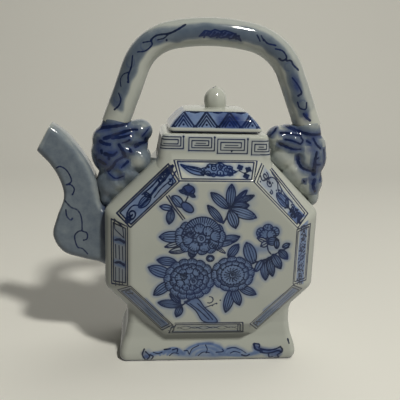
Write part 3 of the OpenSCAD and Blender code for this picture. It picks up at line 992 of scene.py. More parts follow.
def dotted_ring(paint, at, rx, ry, count, size=0.55, phase=0.0):
    """Ring of dots of uneven size."""
    for k in range(count):
        a = 2 * pi * k / count + phase
        paint.dot(at[0] + rx * cos(a), at[1] + ry * sin(a), size * (0.8 + 0.4 * ((k * 7) % 5) / 4))


def spiral(paint, at, r0, r1, turns, start=0.0, width=0.4, end_width=0.3, sense=1):
    """Curl from radius r0 to r1 about a point."""
    t = np.linspace(0, 1, max(int(abs(turns) * 14), 6))
    a = radians(start) + sense * 2 * pi * turns * t
    r = r0 + (r1 - r0) * t
    path = np.column_stack([at[0] + r * np.cos(a), at[1] + r * np.sin(a)])
    paint.stroke(path, width, end_width)
    return path[-1]


def heart(paint, at, r):
    """Small round heart of a flower with a curl and a ring of stamens."""
    paint.area(oval(*at, r, r, 16), 0.6, None, 0.35)
    spiral(paint, at, r * 0.15, r * 0.6, 1.3, 40, 0.35, 0.35)
    dotted_ring(paint, at, r * 1.35, r * 1.35, 9, 0.5)


def peony(paint, at, rx, ry, rings, hearts, wash=0.78, phase=0.0):
    """Full-blown flower: rings of petals from the outside in, as [share of the radius, count, length]."""
    paint.area(oval(*at, rx * 0.86, ry * 0.86, 40), wash, None, 0)
    for ring, (share, count, length) in enumerate(rings):
        for k in range(count):
            a = 2 * pi * (k + 0.5 * (ring % 2)) / count + phase
            place = (at[0] + rx * share * cos(a), at[1] + ry * share * sin(a))
            out = degrees(atan2(sin(a) * ry, cos(a) * rx))
            reach = hypot(rx * cos(a), ry * sin(a))
            width = 2 * pi * share * reach / count * 1.22
            petal(paint, place, out, length * reach, width, wash + 0.05 * ((k + ring) % 3 - 1),
                  5 if share > 0.5 else 3, 0.36)
    for u, v, r in hearts:
        heart(paint, (u, v), r)


def scribble(paint, u0, u1, v0, v1, rng, width=0.45, pitch=1.3):
    """Dense run of small loops and touches between two levels."""
    count = max(int(abs(u1 - u0) / pitch), 2)
    path = []
    for k in range(count * 3):
        u = u0 + (u1 - u0) * k / (count * 3 - 1)
        path.append([u + rng.uniform(-0.4, 0.4), rng.uniform(v0, v1)])
    paint.stroke(path, width, width, 4)
    for k in range(count):
        paint.dot(rng.uniform(min(u0, u1), max(u0, u1)), rng.uniform(v0, v1), rng.uniform(0.6, 1.1))


def frame_lines(paint, low, high, v0, v1, gap=1.1, width=0.42, wash=None, lift=0.0):
    """Double trapezoid frame with half lengths low at v0 and high at v1. lift raises its far left corner."""

    def outline(a, b, bottom, top):
        return [[-a, bottom], [-b - lift / 2, top + lift], [b, top], [a, bottom], [-a, bottom]]

    slope = (high - low) / (v1 - v0)
    outer = outline(low, high, v0, v1)
    inner = outline(low - gap * 1.1 + slope * gap, high - gap * 1.1 - slope * gap, v0 + gap, v1 - gap)
    if wash:
        paint.area(inner[:-1], wash, None, 0, False, 0.8)
    paint.stroke(outer, width * 1.15, width)
    paint.stroke(inner, width, width)


# ---------------------------------------------------------------- brushwork

def paint_spray(p):
    """Peony spray of the flat panel, in mm from the middle of the body."""
    # Thin pools where the wash ran out from the leaves
    pools = ((-30, -13, 5, 4.5), (-22.4, 16.2, 5, 3.5), (-23.6, -31.5, 4.5, 4), (23, -15.8, 4.5, 4),
             (1.2, -20.3, 5.5, 4.5), (26.7, 0.7, 6, 4), (18, 28.8, 4, 3.5), (-22, 20, 4, 5))
    for u, v, wide, tall in pools:
        p.shade(u, v, wide, tall, 0.13, "wash")
    trunk = [[-15, -26], [-9, -31], [-4.5, -37.5], [3, -37.9], [0.2, -33.5], [-4, -29.5], [-8.5, -24]]
    p.area(trunk, 0.85, 0.12, 0.4, True, 0.5, 5)
    p.stroke([[-12, -27], [-6.5, -31.5], [-1.5, -36.5]], 0.3, 0.5, 5)
    p.stroke([[-8, -27], [-3.5, -31.5], [0.5, -36.5]], 0.3, 0.4, 5)
    # Sprig below on the left and the twigs
    p.stroke([[-12, -25], [-16.5, -28.4], [-18, -31]], 0.8, 0.4, 5)
    leaves(p, (
        ((-16.5, -28), (-28.6, -26.4), 4.4, 0.85),
        ((-17.2, -26.5), (-22.5, -21.6), 3.2, 0.8),
        ((-16.6, -28.6), (-19, -34.4), 3.8, 0.85)))
    p.stroke([[-4, -29.5], [-0.5, -28.2], [2.4, -26.9]], 0.4, 0.3, 4)
    spiral(p, (-1.5, -24.8), 2.2, 1.6, 0.6, -120, 0.4, 0.4)
    for k, spot in enumerate([(2.3, -27.2), (4.2, -25.3), (0.2, -28.4)]):
        p.dot(*spot, 0.8 - 0.1 * k)
    # Stems
    p.stroke([[-25.3, 31.7], [-21.5, 25.6], [-16.8, 19.4]], 0.55, 0.6)
    p.stroke([[-24.2, 32.2], [-20.4, 26], [-15.8, 20]], 0.45, 0.5)
    p.stroke([[-14.6, 31.5], [-16.2, 28], [-17.4, 26]], 0.6, 0.5, 4)
    p.stroke([[21, -4], [27, -2.4], [33.5, 1.4], [39.4, 4.6]], 0.8, 0.45, 5)
    p.stroke([[27.6, 7], [28.4, 3], [30, 0.8]], 0.5, 0.6, 4)
    # Leaves round the middle flower
    leaves(p, (
        ((-15.5, 10.2), (-28.4, 10.2), 6.0, 0.8),
        ((-17.5, 7), (-25.4, 4.8), 2.6, 0.35, None, 0, 0),
        ((-13.5, 3.8), (-23.4, 2), 3.4, 0.3, None, 0, 1, 0.8),
        ((-11, 5), (-11.8, -1.2), 4.2, 0.9, 0.1),
        ((2.5, 8.6), (12.7, 10.3), 4.6, 0.65, None, -0.06),
        ((1.5, 5.4), (9.8, 7.6), 2.6, 0.6, None, 0, 0),
        ((0.5, 5), (5.6, 1.4), 1.8, 0.1, None, 0, 0, 0.9, 0.35)))
    # Leaves round the two lower flowers
    leaves(p, (
        ((-19.5, -4), (-29.4, -2.4), 4.6, 0.85),
        ((-22, -11), (-33.9, -6.5), 6.0, 0.85),
        ((-22, -14.6), (-31, -21.8), 5.2, 0.9),
        ((7.6, -1), (12.4, 6), 4.4, 0.85, 0.1),
        ((21, -4.6), (16.8, 6.9), 6.2, 0.85),
        ((10.4, -18.5), (7.4, -32), 5.0, 0.85),
        ((11, -18.5), (14.7, -28), 4.6, 0.9),
        ((14, -17.8), (23, -22), 4.4, 0.8)))
    # Three flowers
    peony(p, (-12.6, -13.2), 13.2, 11.4, [(0.84, 15, 0.36), (0.62, 13, 0.34), (0.42, 9, 0.32)],
          [(-10.5, -14.5, 2.1), (-15.6, -11.6, 1.5)], 0.8, 0.2)
    dotted_ring(p, (-14.8, -11.8), 7.6, 6.3, 22, 0.7)
    dotted_ring(p, (-11, -15), 4.4, 3.9, 14, 0.6)
    peony(p, (10.3, -10.4), 11.3, 9.7, [(0.84, 12, 0.36), (0.63, 12, 0.3)], [], 0.74, 0.1)
    p.area(oval(10.2, -10.9, 6.3, 5.6, 30), 0.7, None, 0.3)
    dotted_ring(p, (10.2, -10.9), 5.9, 5.2, 22, 0.6)
    dotted_ring(p, (10.2, -10.9), 4.3, 3.8, 15, 0.6, 0.2)
    for stamen in zip(oval(10.2, -10.9, 2.6, 2.3, 16), oval(10.2, -10.9, 3.6, 3.2, 16)):
        p.stroke(stamen, 0.3, 0.4)
    heart(p, (10.2, -10.9), 1.7)
    # Middle flower with its domed upper petal
    peony(p, (-7.6, 10.2), 12.9, 9.6, [(0.84, 13, 0.36), (0.58, 9, 0.36)], [], 0.78, 0.5)
    dome = spin(arc(0, 0, 1, 12, 168, 12), 4, (-6.6, 10.6), (10.2, 10.4))
    p.area(np.vstack([dome, [[-13, 9.5], [0, 8.5]]]), 0.72, None, 0.45)
    for k in range(21):
        a = radians(14 + 7.6 * k)
        rim = [-6.6 + 10 * cos(a), 10.9 + 10.1 * sin(a)]
        inner = [-6.6 + (7.1 - 0.8 * (k % 2)) * cos(a), 10.9 + (7.2 - 0.8 * (k % 2)) * sin(a)]
        p.stroke([rim, inner], 0.42, 0.25)
    for k, (u, v, turn) in enumerate([(-12.5, 12.8, 120), (-8.2, 14.6, 95), (-3.6, 13.2, 60), (-14, 8.8, 170),
                                      (-10.5, 5, -110), (-5, 4.6, -80), (-0.6, 6.6, -40), (0.2, 10.6, 15)]):
        petal(p, (u, v), turn, 5.2, 5.6, 0.8 + 0.05 * (k % 2), 4, 0.38)
    heart(p, (-12.7, 11.6), 1.5)
    heart(p, (-7, 9.2), 2.4)
    dotted_ring(p, (-7, 9.2), 4.3, 3.7, 13, 0.65)
    for k in range(6):
        p.stroke([[-3 + k * 0.9, 6.5 - k * 0.75], [-2 + k * 0.9, 7.6 - k * 0.6]], 0.6, 0.4)
    # Small floret between the flowers
    p.area(oval(-2, -1.6, 2.1, 1.8, 12), 0.5, None, 0.4)
    dotted_ring(p, (-2, -1.6), 1.6, 1.4, 6, 1.3)
    # Spray at the top
    p.stroke([[4, 17.6], [5.6, 20.6], [7.3, 26]], 0.8, 0.8, 5)
    leaves(p, (
        ((7.2, 26.5), (7.6, 38), 4.6, 0.8),
        ((6.4, 25.6), (-2.6, 33.6), 4.6, 0.7),
        ((9.2, 28.6), (15.5, 35.2), 2.6, 0.8, 0.15, 0, 1, 0.8),
        ((9.4, 28.2), (19.1, 32.4), 3.2, 0.7),
        ((8, 26.4), (16.7, 27.2), 4.4, 0.85, 0.2),
        ((7.4, 25.2), (20.9, 20.8), 5.4, 0.6),
        ((6.8, 24.2), (10.6, 15.2), 5.4, 0.7, None, 0.05),
        ((3.6, 18), (-4.1, 26.9), 3.8, 0.55)))
    for spot in [(15, 29), (13.4, 31.4), (16.4, 27.9)]:
        p.dot(*spot, 0.8)
    # Sprig at the top left
    leaves(p, (
        ((-22.4, 25.4), (-28.3, 26.4), 3.0, 0.6, None, 0, 0),
        ((-22.6, 25), (-23.8, 17.4), 4.0, 0.8),
        ((-17.6, 26), (-22.6, 31.8), 4.4, 0.55, None, -0.08, 1, 0)))
    p.area(spin(oval(0, 0, 3.7, 2.1, 14), -38, (-14.6, 26)), 0.9, 0.55, 0.5)
    p.area(spin(oval(0, 0, 3.2, 2.6, 14), -10, (-14.3, 35)), 0.9, 0.75, 0.5)
    leaf(p, (-15, 33.6), (-18.9, 34.8), 1.8, 0.8, 0.3, 0, 0, 0.8)
    leaf(p, (-13.6, 33), (-11, 31.6), 1.6, 0.8, 0.3, 0, 0, 0.9)
    p.dot(-14.4, 38, 1.1)
    p.stroke([[-16.5, 36], [-14.3, 33.4], [-11.6, 35.6]], 0.4, 0.4, 4)
    # Bud and branch on the right
    p.smear([[24, 3.6], [31, 4.6], [37, 3.4]], 6, 0.35)
    for k, (u, v, turn, size) in enumerate([(24.4, 12.6, 165, 5.4), (31, 13, 15, 5.4), (27.6, 14.4, 90, 5.6),
                                            (26, 11.6, 140, 4.6), (29.6, 11.4, 40, 4.6)]):
        petal(p, (u, v), turn, size, 5.2, 0.85, 3, 0.36)
    dotted_ring(p, (27.4, 12.4), 4.2, 2.8, 12, 0.8)
    leaves(p, (
        ((28, 7.4), (22.6, 9.6), 2.4, 0.2, None, 0, 0, 1.2),
        ((28, 7.2), (24.6, 5.2), 3.0, 0.3, None, 0, 0, 1.0),
        ((27.6, 7.4), (33.4, 8.4), 4.4, 0.85, 0.15),
        ((26.6, -2.2), (28, -13.6), 4.4, 0.75),
        ((25.6, -2.6), (22.4, -9), 3.2, 0.8, None, 0, 0, 0.5),
        ((29, -1), (31.6, -11.4), 4.0, 0.85),
        ((31, 0.6), (35.7, -7.2), 4.4, 0.8),
        ((34.4, 3), (38.9, -1.8), 3.8, 0.85),
        ((33, 3.8), (32.6, 9), 2.6, 0.85, 0.2, 0, 0, 0.6),
        ((36, 4.6), (39.6, 6.4), 2.4, 0.8, None, 0, 0, 0.9)))
    p.dot(-26.5, 9.4, 0.6)


def facet_frame(k):
    """Outward and clockwise directions of a side of the octagon, its distance, middle and half length."""
    a = radians(45 * k)
    out = np.array([cos(a), sin(a)])
    clockwise = np.array([sin(a), -cos(a)])
    corners = octagon_corners(0)
    ends = np.sort([corners[k] @ clockwise, corners[(k - 1) % 8] @ clockwise])
    return out, clockwise, corners[k] @ out, ends.mean(), (ends[1] - ends[0]) / 2


def paint_top(p, low, high, rng):
    """Cloud of small flowers with a wing on its left."""
    frame_lines(p, low + 0.6, high - 0.4, 0.3, 12.9, 1.3, 0.55)
    wing = [[-6.6, 3.6], [-10.5, 4], [-14, 5.6], [-18.2, 9.8], [-15.4, 9.2], [-11.6, 8.6], [-8.4, 7.8],
            [-6.4, 6.2]]
    p.area(wing, 0.85, 0.2, 0.55, True, 0.5, 4)
    p.stroke([[-17, 8.8], [-12, 6.6], [-7, 5.2]], 0.5, 0.6, 5)
    p.stroke([[-15.4, 8.9], [-11, 7.6], [-7, 6.4]], 0.45, 0.5, 5)
    t = np.linspace(0, 2 * pi, 40, endpoint=False)
    rim = 1 + 0.09 * np.cos(9 * t)
    cloud = np.column_stack([0.9 + 8.6 * rim * np.cos(t), 5.9 + (3.6 + 1.2 * np.sin(t)) * rim * np.sin(t)])
    p.area(cloud, 0.8, 0.12, 0.55)
    flowers = [(-4.4, 5, 1.3), (-1.2, 7.8, 1.4), (2, 5.2, 1.7), (5.4, 7, 1.2), (6.8, 4.6, 1.1), (-1.6, 4, 1.1),
               (2.2, 8.6, 1.1)]
    for u, v, r in flowers:
        p.area(oval(u, v, r, r, 10), 0.6, None, 0.5)
        p.dot(u, v, 0.8)
    for k in range(22):
        a = 2 * pi * k / 22
        p.dot(0.9 + 7.4 * cos(a), 5.9 + (2.9 + 0.9 * sin(a)) * sin(a), 0.75 + 0.25 * (k % 3))
    for u, v in [(12.4, 8.6), (16.6, 7.4), (15.2, 3.6)]:
        for turn in (10, 100, 190, 280):
            tip = spin([[1.5, 0]], turn + 30 * u, (u, v))[0]
            leaf(p, (u, v), tip, 1.3, 0.8, 0.4, 0, 0, 0.6, 0.4)
    p.stroke([[9.4, 5.6], [11.6, 6.6], [13.8, 5.4], [16, 5.8]], 0.4, 0.4, 4)
    p.stroke([[12, 6.8], [12.4, 8.2]], 0.4, 0.4)
    p.stroke([[15, 5.4], [15.2, 3.8]], 0.4, 0.4)


def paint_upper_right(p, low, high, rng):
    """Leaf among scrolls, with a dense dark end."""
    frame_lines(p, low, high - 2.6, 0.3, 12.4, 1.4, 0.5, None, 3.6)
    p.area([[-13, 3], [-13.6, 8.4], [-8, 9.6], [-5, 4.4]], 0.6, None, 0, False, 1.2)
    p.area([[-15, 2.6], [-17, 12.6], [16.8, 9.8], [15, 2.6]], 0.28, None, 0, False, 1.0)
    for u, v, turn in ((-11.4, 8.4, 0), (-6.4, 3.8, 120), (-2.6, 8.8, 60), (8.6, 8.2, 200), (10.6, 3.6, 30)):
        spiral(p, (u, v), 0.3, 1.4, 1.0, turn, 0.45, 0.5)
    for u, v in ((-14.6, 3.6), (-8.4, 9), (-4.4, 7.4), (5, 3.4), (12, 9.2), (16.4, 9)):
        p.dot(u, v, 0.8)
    spiral(p, (-14, 8.8), 0.5, 2.2, 1.2, 30, 0.7, 0.6)
    spiral(p, (-9.4, 7), 0.4, 2.0, 1.1, 200, 0.6, 0.5, -1)
    p.stroke([[-16.5, 6.4], [-13.6, 5.4], [-10.4, 11.4], [-6.4, 11.6], [-3.6, 8.2]], 0.7, 0.5, 6)
    leaf(p, (6.6, 5.4), (-3.4, 6.2), 5.6, 0.85, 0.25, 0, 3, 0.6, 0.45)
    leaf(p, (6, 5), (3.2, 8.8), 2.2, 0.8, 0.3, 0, 0, 0.7)
    p.stroke([[5.6, 5.6], [9.5, 5], [13, 5.4]], 1.1, 0.9, 4)
    p.stroke([[-12, 13.4], [-6, 12.2], [0, 9.8], [7, 9.6]], 0.5, 0.7, 5)
    p.shade(-11, 8, 4.4, 4, 0.25)
    p.area([[8, 2], [8.4, 9], [17.4, 9.8], [15.2, 2]], 0.85, 0.35, 0, False, 1.2)
    scribble(p, 8.4, 17, 2.8, 9.2, rng, 0.6, 1.2)
    spiral(p, (14.6, 6.4), 0.6, 2.6, 1.4, 90, 0.7, 0.6)


def paint_right(p, low, high, rng):
    """Row of curls on a dotted ground."""
    frame_lines(p, low, high - 2.8, -0.6, 11.8, 1.2, 0.5)
    p.area([[-17.6, 2], [-19, 9.4], [18, 9.4], [14.6, 2]], 0.55, None, 0, False, 1.4)
    for u, v in zip(np.linspace(-16.5, 14, 90), rng.uniform(2.8, 8.8, 90)):
        p.dot(u, v, rng.uniform(0.6, 1.0))
    for u in np.linspace(-14.5, 12, 6):
        spiral(p, (u, 5.8), 0.4, 2.2, 1.1, 60 * u, 0.4, 0.35)
        p.shade(u, 5.8, 1.8, 1.8, 0.3)
    spiral(p, (16.6, 5.2), 0.5, 2.5, 1.3, 0, 0.6, 0.5)


def paint_lower(p, low, high, rng):
    """Thin frame over a grey wash, on the two lower slants."""
    ground = [[-low + 0.6, 2.4], [-high + 3.4, 10.4], [high - 3.4, 10.4], [low - 0.6, 2.4]]
    p.area(ground, 0.5, None, 0, False, 1.8)
    p.smear([[-low * 0.8, 5], [-4, 7], [5, 4], [low * 0.8, 6.4]], 5, 0.45, "wash", 5)
    p.smear([[-low * 0.5, 0.4], [low * 0.3, -0.6]], 2.6, 0.35)
    frame_lines(p, low, high - 2.4, 0.2, 11.8, 1.3, 0.5)
    p.stroke([[-low + 2.6, 4.4], [-4, 5.4], [6, 4.6], [low - 2.4, 5.2]], 0.3, 0.4, 6)
    p.stroke([[-high + 6, 8.4], [-6, 7.6], [5, 8.2], [high - 7, 7.8]], 0.3, 0.35, 6)
    scribble(p, low - 5, low - 1, 2.6, 9, rng, 0.5, 1.6)


def paint_bottom(p, low, high, rng):
    """Two waves in a frame that sits a little off the middle."""
    p.u = p.u - 1.9
    frame_lines(p, low - 1.6, high - 3.4, -1.5, 11.6, 1.4, 0.6)
    p.smear([[-high + 6, 9.6], [high - 6, 9.6]], 2.2, 0.3)
    t = np.linspace(-1, 1, 80)
    for sign, lift in ((-1, 3.4), (1, 5)):
        wave = np.column_stack([low * 0.8 * t, lift + sign * 1.6 * np.sin(3.3 * pi * t + 0.4)])
        p.stroke(wave, 0.42, 0.42)
    p.stroke([[-low + 2.6, 0.4], [-low + 1.4, 9.6]], 0.5, 0.5)
    p.stroke([[-low + 4, 0.4], [-low + 3, 9.6]], 0.45, 0.45)
    p.dot(-low + 0.4, 10.6, 1.4)
    scribble(p, low - 2.4, low + 1.6, 0.4, 8.4, rng, 0.6, 1.4)


def paint_left(p, low, high, rng):
    """Bars and short lines in a plain frame."""
    ground = [[-low + 0.6, 3], [-high + 3.4, 12], [high - 3.4, 12], [low - 0.6, 3]]
    p.area(ground, 0.22, None, 0, False, 1.8)
    frame_lines(p, low + 0.9, high - 0.9, 2.0, 13.6, 1.4, 0.6)
    p.stroke([[9.6, 4.6], [15.4, 5.4], [18.4, 11.4], [13, 11], [9.6, 4.6]], 0.5, 0.5)
    for u, wide in ((7.4, 1.6), (-5.2, 1.6)):
        p.stroke([[u, 4.8], [u + 0.6, 7.8], [u - 0.4, 11]], wide, 0.9, 4)
        p.smear([[u, 4.8], [u, 11]], 4, 0.4)
    for v in (5.6, 8, 10.6):
        p.stroke([[4.6, v], [-2.8, v - 0.3]], 0.65, 0.5)
        p.stroke([[-8, v], [-15.5 - v * 0.3, v]], 0.45, 0.4)


def paint_upper_left(p, low, high, rng):
    """Scrolls and a leaf on a long stem."""
    frame_lines(p, low, high - 2.2, 0.3, 12.4, 1.25, 0.6, 0.45)
    spiral(p, (-12.6, 5.6), 0.5, 3.0, 1.3, 300, 0.8, 0.7, -1)
    spiral(p, (-15.4, 4.4), 0.4, 1.8, 1.1, 120, 0.8, 0.8)
    p.stroke([[-17, 3.4], [-14, 8], [-9.4, 8.8], [-6.4, 6]], 0.9, 0.5, 5)
    p.shade(-14, 5.5, 5, 3.4, 0.3)
    p.stroke([[-2, 9.8], [5, 9.4], [12, 10.2], [18.6, 10.8]], 0.7, 1.0, 5)
    scribble(p, 9, 18.6, 7.6, 10.6, rng, 0.5, 1.3)
    leaf(p, (1.4, 6), (-7.4, 5.6), 5.0, 0.85, 0.2, 0, 3, 0.6)
    leaf(p, (0.6, 6), (-0.6, 9.4), 2.0, 0.85, 0.3, 0, 0, 0.7)
    p.stroke([[0.4, 5.8], [7, 7], [13, 7.4], [19.5, 9.6]], 1.2, 1.8, 6)
    p.stroke([[2, 3.6], [8, 4.6], [14.5, 4.4], [19, 6]], 0.5, 0.6, 6)
    spiral(p, (13.4, 3.6), 0.5, 1.9, 1.2, 0, 0.5, 0.5)
    spiral(p, (16.6, 8.2), 0.5, 1.7, 1.2, 90, 0.6, 0.6)


# Growth of a side's half length for each mm outwards
OCTAGON_TAN = 0.414

FACETS = {
    2: paint_top, 1: paint_upper_right, 0: paint_right, 7: paint_lower,
    6: paint_bottom, 5: paint_lower, 4: paint_left, 3: paint_upper_left,
}


def paint_face(x, z, depth, mirror):
    """Brushwork of one moulding: the spray on its panel and a framed border on each slanted side."""
    rng = np.random.default_rng(SEED + mirror)
    x = -x if mirror else x
    whole = Painting(x, z)
    flat = Painting(x, z)
    paint_spray(flat)
    on_panel = depth > PANEL_Y - 0.4
    whole.away = np.where(on_panel, flat.away, whole.away)
    whole.wash = np.where(on_panel, flat.wash, 0)
    whole.deep = np.where(on_panel, flat.deep, 0)
    place = np.column_stack([x, z])
    frames = [facet_frame(k) for k in range(8)]
    beyond = np.array([place @ out - reach for out, _, reach, _, _ in frames])
    nearest = beyond.argmax(0)
    # Length up the slope from the edge of the panel
    inset = -beyond.max(0)
    slope = BEVEL_LENGTH / BEVEL[1]
    up = np.where(depth > PROFILE[-2, 0], (PANEL_INSET - inset) * slope,
                  BEVEL_LENGTH + (PROFILE[-2, 0] - depth) * 1.1)
    for k, (_, clockwise, _, middle, half) in enumerate(frames):
        mask = (nearest == k) & (inset < PANEL_INSET + 2.5)
        part = whole.part(mask, place @ clockwise - middle, up)
        low = half - OCTAGON_TAN * PANEL_INSET - 0.3
        FACETS[k](part, low, low + OCTAGON_TAN * 11.5 / slope, rng)
        whole.give_back(part)
    return whole


def paint_neck(points, half_d, top):
    """Squared spirals round the neck, drawn thin and grey."""
    x, y, z = points.T
    whole = Painting(x, z)
    width = 0.5
    for side in (-1, 1):
        mask = (y * side > half_d - 5) & (np.abs(x) < 31)
        p = whole.part(mask, -side * x, z)
        units = [(-29.6, 12.8, 1.5, 6), (-14, 13.2, 1.7, 6.7), (0.8, 15.6, 2.3, 7.3), (18.6, 11, 3.1, 7)]
        for k, (left, wide, drop, tall) in enumerate(units):
            high = top - drop
            low = high - tall
            right = left + wide
            gap = 0.225 * tall
            # Outer line, open at one top corner, then the inner turns
            p.stroke([[right, high], [right, low], [left, low], [left, high], [right - gap, high]], width)
            p.stroke([[right - gap, high], [right - gap, low + gap], [left + gap, low + gap],
                      [left + gap, high - gap], [right - 2 * gap, high - gap],
                      [right - 2 * gap, low + 2 * gap]], width)
            p.stroke([[left + 2 * gap, low + 1.8 * gap], [right - 2 * gap, low + 1.8 * gap]], width, width)
            if k:
                bar = high - 1.9 * gap
                p.stroke([[left + 2.4 * gap, bar], [right - 3 * gap, bar]], width, 0.4)
            p.dot(right, high + 0.2, 1.1)
            p.dot(left, low, 0.8)
        p.dot(0.8 + 7.4, top - 8.4, 0.9)
        p.wash = 0.16 * np.clip(1 - p.away / 1.4, 0, 1)
        p.away += 0.06
        whole.give_back(p)
    return whole


CLOUD_BAND = [
    [-36.6, 2], [-36, 6.6], [-33.5, 7.4], [-31, 5.6], [-27, 6.6], [-22, 7.8], [-17, 7.8], [-14.4, 6.8],
    [-12, 8.6], [-7, 10.6], [0, 11.3], [6, 9.8], [8.6, 7.4], [11, 8.6], [15, 8.8], [19, 7.2], [22, 5.2],
    [24.4, 5.4], [25, 9.4], [28, 9.6], [29.6, 7.6], [34, 7], [38.6, 7.8], [41, 6.8], [41.4, 3.4], [38, 1.7],
    [33, 1.9], [30, 3.6], [24, 2.4], [18, 2], [12, 2.8], [4, 1.8], [-6, 2.2], [-10, 1.9], [-16, 2.6],
    [-22, 4], [-28, 4.2], [-31, 2.8], [-34, 1.3]]


def paint_foot(points, half_w, half_d):
    """Cloud band along the front and back of the plinth."""
    x, y, z = points.T
    whole = Painting(x, z)
    for side in (-1, 1):
        mask = (y * side > 8) & (z < 18)
        p = whole.part(mask, -side * x, z)
        p.area(CLOUD_BAND, 0.42, None, 0, True, 2.2)
        for rx, rz in ((12, 7.4), (8.6, 5.4), (5, 3.4)):
            p.smear(arc(0, 0, 1, 14, 166, 14) * [rx, rz] + [-2.4, 2.8], 1.3, 0.5)
        for u, r in ((13, 5), (13, 3), (-20, 5.6), (-20, 3.4), (-30, 3)):
            p.smear(arc(u, 3.4, r, 20, 160, 8) * [1, 0.9], 1.3, 0.5)
        p.smear([[-36, 3], [-28, 5.4], [-20, 6.4], [-14, 4.6]], 1.8, 0.6, "wash", 5)
        p.smear([[6, 4], [14, 3.2], [22, 3.2], [30, 5.6], [40, 5]], 1.8, 0.5, "wash", 5)
        p.smear([[25.6, 8], [30, 6.6], [36, 5.2], [40.6, 5.6]], 3.2, 0.6, "deep")
        p.smear([[36, 2.6], [40, 3]], 3, 0.5, "deep")
        p.smear([[-36.4, 5.4], [-34.4, 2.4]], 3.4, 0.5, "deep")
        p.smear([[-6, 9.8], [2, 10.4]], 2, 0.35, "deep")
        marks = [
            ([[-36, 7.6], [-37, 4.5], [-35.4, 1.2]], 0.7), ([[-35.2, 6.2], [-33, 3.6], [-34.6, 1]], 0.6),
            ([[-32.6, 4.4], [-31, 3.2], [-32.2, 1.2]], 0.6), ([[-25, 7.2], [-21.6, 7.6]], 0.7),
            ([[-20.4, 7], [-17.6, 7.6], [-17.8, 5.8]], 0.6), ([[-14, 6.4], [-12, 6.4], [-11.4, 4.6]], 0.4),
            ([[-11, 4.2], [-9.4, 7.4], [-5.8, 9.2]], 0.35), ([[-2, 9.4], [-1, 7], [-1.6, 4.8]], 0.35),
            ([[4, 5.2], [8, 5.6], [7.4, 7]], 0.4), ([[10, 7], [14, 7.8], [18, 6.4], [21, 4.4]], 0.35),
            ([[18.6, 3.4], [21, 2.6], [23, 3.6]], 0.7), ([[25.2, 9.4], [26.4, 6.6], [30, 5.4]], 1.0),
            ([[25.6, 9.8], [28.4, 9.2], [28.2, 7.2]], 0.7), ([[29, 6.8], [33, 6], [37, 6.4], [40, 7.6]], 0.7),
            ([[29, 4.8], [32.6, 4.2], [36, 4.6], [39, 5.6], [41, 4.6], [38.8, 3], [40, 1.4], [37.4, 1.2]], 0.7),
            ([[33.8, 3.4], [34.4, 1.6], [36.4, 1.8]], 0.7), ([[40.4, 7.8], [41.6, 6.2], [41.2, 4.4]], 0.8),
            ([[-31, 5.8], [-28.4, 5], [-26, 5.8]], 0.4), ([[-6, 3.4], [-3.4, 5.4], [0.4, 5]], 0.4),
            ([[12, 4.6], [14.6, 5.6], [17.6, 4.6]], 0.4), ([[-22, 3.6], [-20, 5.2], [-17, 4.8]], 0.4),
            ([[44.6, 12], [45.4, 9.6]], 0.8)]
        for path, width in marks:
            p.stroke(path, width, width * 0.8, 4)
        whole.give_back(p)
    # Dark line along the bottom edge: the bare rim that the pot stands on, darkened further as painted contact
    # shadow
    whole.away = np.minimum(whole.away, z - 0.7)
    return whole


def paint_spout(points, stations, count):
    """Grey-blue wash all over, with thin scrolls on both flat sides."""
    x, y, z = points.T
    p = Painting(x, z)
    ring = np.arange(len(points)) // count
    # The wash deepens to full within 7 mm of the body: painted shade at the spout's root
    near = np.clip(1 - (stations[0, 0] - x) / 7, 0, 1)
    p.wash = np.maximum(0.56 + 0.1 * (np.abs(y) < 6), near)
    vines = [
        [[-82.8, 106], [-80.7, 106.9], [-77.7, 105.2], [-75.5, 101.5], [-75.2, 98.7], [-77.9, 97.1]],
        [[-77.9, 97.1], [-75.3, 97.1], [-73.6, 94.9], [-74.5, 91.8]],
        [[-78.6, 88.3], [-75.5, 85], [-71.9, 83.3], [-70, 78.9], [-69.8, 72.1]],
        [[-69.8, 72.1], [-72, 71.5], [-73.9, 68.7], [-72.5, 63], [-69.6, 61.8], [-67, 58.9]],
        [[-78.3, 83.6], [-77.8, 80], [-75.8, 77.9], [-74.8, 78.9]],
        [[-69.8, 71.9], [-67.3, 70.9], [-67.2, 67.7], [-69.2, 66.6]]]
    for vine in vines:
        p.stroke(vine, 0.6, 0.5, 6)
    for u, v in ((-74.6, 92), (-75, 78.7), (-69, 66.8)):
        p.dot(u, v, 0.9)
    # The wash thins towards the upper edge: a painted highlight along the top of the spout
    low, high = stations[ring, :2], stations[ring, 2:]
    across = high - low
    share = ((points[:, [0, 2]] - low) * across).sum(1) / (across**2).sum(1)
    p.wash = p.wash * (1 - 0.4 * np.clip((share - 0.82) / 0.12, 0, 1))
    p.show_only(np.abs(y) >= 3.5)
    # Painted shadow: dark ink in the narrow gap between the spout and the body, where the body shades the
    # spout's root
    seam_shadow = near * np.clip((share - 0.1) / 0.4, 0, 1)
    p.away = np.minimum(p.away, 0.5 - 0.46 * seam_shadow)
    lip = ring > ring.max() - 6
    p.wash = np.where(lip, p.wash * 0.8, p.wash)
    return p


